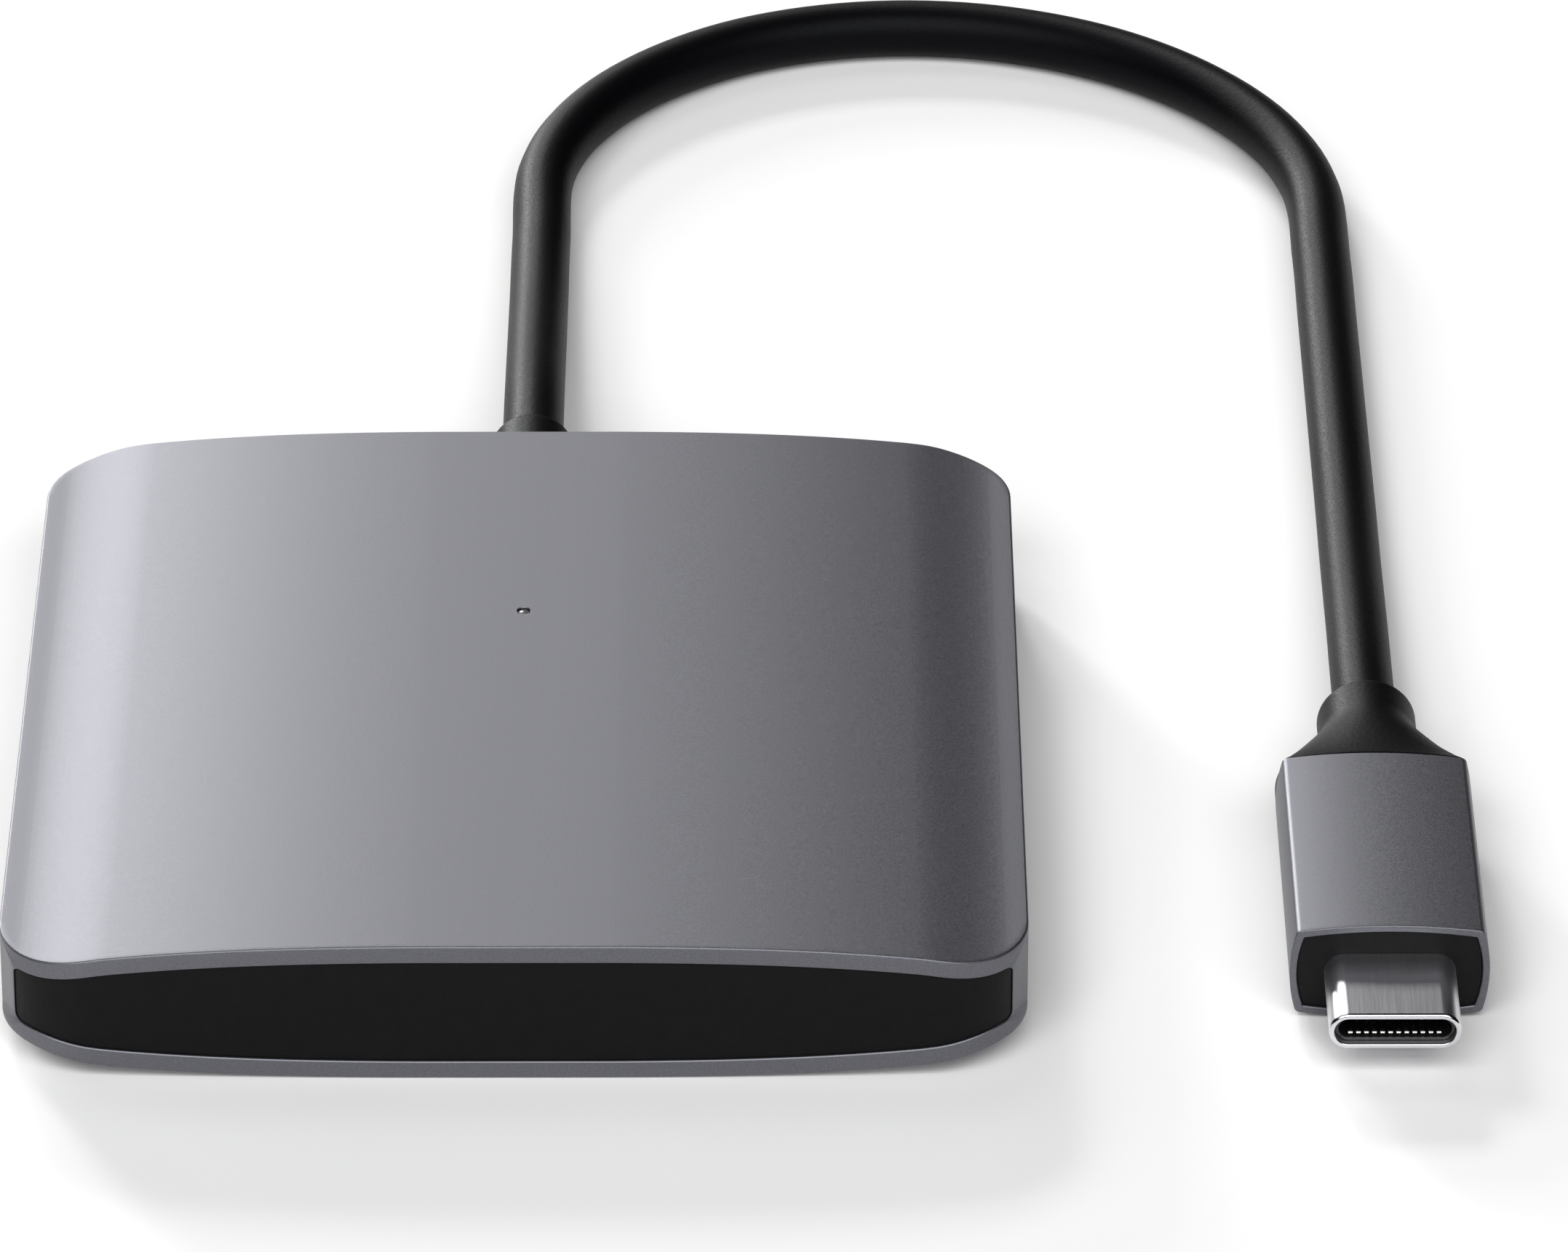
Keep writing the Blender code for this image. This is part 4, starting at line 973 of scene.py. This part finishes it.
def build_strain_relief(materials):
    bore = CABLE_RADIUS + CABLE_CLEARANCE
    start = SLEEVE_REAR + 0.04
    lip, rim, bore_break = 0.12, 0.16, 0.15
    spigot, spigot_start = plug_outline(PLUG_WALL + 0.05), start - 3.0
    rings = [round_ring(bore, spigot_start), at_level(spigot, spigot_start), at_level(spigot, start)]
    for along, down in arc_steps(4):
        rings.append(relief_ring(start + lip * down, lip * (1 - along)))
    collar_start = RELIEF_NECK[1]
    steps = 34
    for step in range(1, steps + 1):
        rings.append(relief_ring(start + lip + (collar_start - start - lip) * step / steps))
    rings.append(round_ring(RELIEF_RADIUS, RELIEF_END - rim - SUPPORT))
    rings += [round_ring(RELIEF_RADIUS - rim * down, RELIEF_END - rim + rim * along)
              for along, down in arc_steps(5)]
    rings += [round_ring(bore + bore_break, RELIEF_END), round_ring(bore, RELIEF_END - bore_break)]
    relief = loft("plug_boot", rings, wrap=True, sharp=40)
    return place(relief, materials["jacket"], "cable_jacket", "plug_strain_relief")


def build_plug_housing(materials):
    """The aluminium sleeve: a bowed tube with finely rounded ends."""
    rear_break, front_break, inner_break = 0.05, 0.09, 0.05
    inner_round = 0.12
    rings = [at_level(plug_outline(PLUG_WALL, inner_round), SLEEVE_REAR),
             at_level(plug_outline(rear_break), SLEEVE_REAR),
             at_level(plug_outline(0.0), SLEEVE_REAR - rear_break),
             at_level(plug_outline(0.0), SLEEVE_REAR - rear_break - SUPPORT),
             at_level(plug_outline(0.0), SLEEVE_FRONT + front_break + SUPPORT)]
    rings += [at_level(plug_outline(front_break * down), SLEEVE_FRONT + front_break * (1 - along))
              for along, down in arc_steps(5)]
    rings += [at_level(plug_outline(PLUG_WALL - inner_break, inner_round), SLEEVE_FRONT),
              at_level(plug_outline(PLUG_WALL, inner_round), SLEEVE_FRONT + inner_break)]
    housing = loft("plug_housing", rings, wrap=True)
    weigh_normals(housing)
    return place(housing, materials["aluminium"], "sleeve_aluminium", "plug_sleeve")


def shell_outline(inset):
    return stadium(SHELL_SIZE[0] - 2 * inset, SHELL_SIZE[1] - 2 * inset, 24)


def build_plug_face(materials):
    """The moulded insert that closes the sleeve round the connector's shell."""
    back, edge_break, hole_gap = FACE_Y + 9.0, 0.04, 0.03
    outer = plug_outline(PLUG_WALL + 0.02, 0.11)
    edge = plug_outline(PLUG_WALL + 0.06, 0.10)
    hole_size = (SHELL_SIZE[0] / 2 + hole_gap, SHELL_SIZE[1] / 2 + hole_gap)
    hole = [nearest_on_stadium(x, up, *hole_size) for x, up in outer]
    rings = [at_level(outer, back), at_level(outer, FACE_Y + edge_break), at_level(edge, FACE_Y),
             at_level(hole, FACE_Y), at_level(hole, back)]
    face = loft("plug_face", rings, wrap=True)
    return place(face, materials["insert"], "black_plastic", "plug_inner_body")


def nearest_on_stadium(x, up, half_width, end_radius):
    """The point of a slot outline nearest to a point outside it."""
    flat = half_width - end_radius
    core = max(-flat, min(flat, x))
    away = Vector((x - core, up))
    away = away.normalized() * end_radius
    return (core + away.x, away.y)


def build_connector_shell(materials):
    """The connector's drawn shell, whose rounded lip is brighter than the rest."""
    inner_round, back = 0.07, TIP_Y + SHELL_LENGTH
    profile = [(0.0, back), (0.0, TIP_Y + SHELL_ROUND + 0.25)]
    profile += [(SHELL_ROUND * down, TIP_Y + SHELL_ROUND * (1 - along)) for along, down in arc_steps(7)]
    face_inset = SHELL_WALL + 0.06
    profile += [(face_inset - inner_round + inner_round * along, TIP_Y + inner_round * down)
                for along, down in arc_steps(5)]
    profile += [(face_inset, TIP_Y + LINING_SETBACK + 6.0), (face_inset - 0.02, back)]
    rings = [at_level(shell_outline(inset), y) for inset, y in profile]
    shell = loft("connector_shell", rings, wrap=True)
    weigh_normals(shell)
    place(shell, materials["steel"], "bright_steel", "plug_shell")
    shell.data.materials.append(materials["lip"])
    for polygon in shell.data.polygons:
        if polygon.center.y < (TIP_Y + SHELL_ROUND) * MM:
            polygon.material_index = 1
    return shell


def build_connector_lining(materials):
    """The insulator: a sleeve inside the shell, closed at the back."""
    outside = SHELL_WALL + LINING_GAP
    inside = outside + LINING_WALL
    front, edge = TIP_Y + LINING_SETBACK, 0.05
    mouth_round = LINING_WALL - edge
    profile = [(outside, TIP_Y + 6.5), (outside, front + edge), (outside + edge, front)]
    profile += [(inside - mouth_round * (1 - along), front + mouth_round * (1 - down))
                for along, down in reversed(arc_steps(6))]
    profile.append((inside, TIP_Y + 5.8))
    rings = [at_level(shell_outline(inset), y) for inset, y in profile]
    lining = loft("connector_lining", rings)
    return place(lining, materials["lining"], "tray_plastic", "plug_contact_carrier")


def build_connector_contacts(name, side, materials, node_name):
    """One row of spring contacts, each bent to a hump near the mouth. side is 1 for the upper row."""
    thick, half, hump_steps = 0.07, PIN_WIDTH / 2, 12
    floor = SHELL_SIZE[1] / 2 - SHELL_WALL - LINING_GAP - LINING_WALL
    hump_y, hump_rise, hump_run = TIP_Y + 0.95, 0.14, 0.16
    path = [(TIP_Y + 5.7, floor - 0.10), (hump_y + 1.6, floor - 0.12)]
    for step in range(hump_steps + 1):
        angle = math.pi * step / hump_steps
        path.append((hump_y + hump_run * math.cos(angle), floor - 0.06 - hump_rise * math.sin(angle)))
    parts = []
    for index in range(PIN_COUNT):
        x = PLUG_X + (index - (PIN_COUNT - 1) / 2) * PIN_PITCH
        rings = []
        for y, away in path:
            inner, outer = PLUG_Z + side * away, PLUG_Z + side * (away + thick)
            rings.append([(x - half, y, outer), (x + half, y, outer),
                          (x + half, y, inner), (x - half, y, inner)])
        parts.append(rings)
    return place(many_lofts(name, parts, 50), materials["gold"], "contact_gold", node_name)


def build_plug(materials):
    build_plug_housing(materials)
    build_plug_face(materials)
    build_connector_shell(materials)
    build_connector_lining(materials)
    build_connector_contacts("connector_contacts_upper", 1, materials, "plug_contacts_upper")
    build_connector_contacts("connector_contacts_lower", -1, materials, "plug_contacts_lower")
    build_strain_relief(materials)


# ---------------------------------------------------------------- carried-over CAD nodes

FINISHES = {
    "inner_tray": "tray", "main_board": "board", "plug_board": "board", "thermal_pad": "pad",
    "power_inductor": "ferrite", "clock_crystal": "steel", "status_led": "lens", "cable_clamp": "tray",
    "cable_crimp_ring": "steel", "plug_crimp_ferrule": "steel", "plug_latch_spring": "steel",
    "ground_lead": "jacket", "power_lead": "red", "data_lead_1": "white", "data_lead_2": "white",
    "bulk_capacitor_left": "tantalum", "bulk_capacitor_right": "tantalum",
}


def finish_inner_nodes(materials):
    """Every CAD node that no piece replaces gets a material of its own kind."""
    for name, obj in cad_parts.items():
        if obj.hide_render:
            continue
        kind = FINISHES.get(name, "steel" if "screw" in name else "chip")
        obj.data.materials.clear()
        obj.data.materials.append(materials[kind])


# ---------------------------------------------------------------- whole scene

def main():
    make_camera()
    materials = make_materials()
    cable, cable_length = build_cable(materials)
    make_floor(materials["floor"])
    make_lights()
    build_hub_sleeve(materials)
    build_panel("front_panel", -1, materials, "front_cover")
    build_panel("rear_panel", 1, materials, "rear_cover")
    build_lens(materials)
    build_sockets(materials)
    build_gland(materials)
    build_plug(materials)
    finish_inner_nodes(materials)


main()
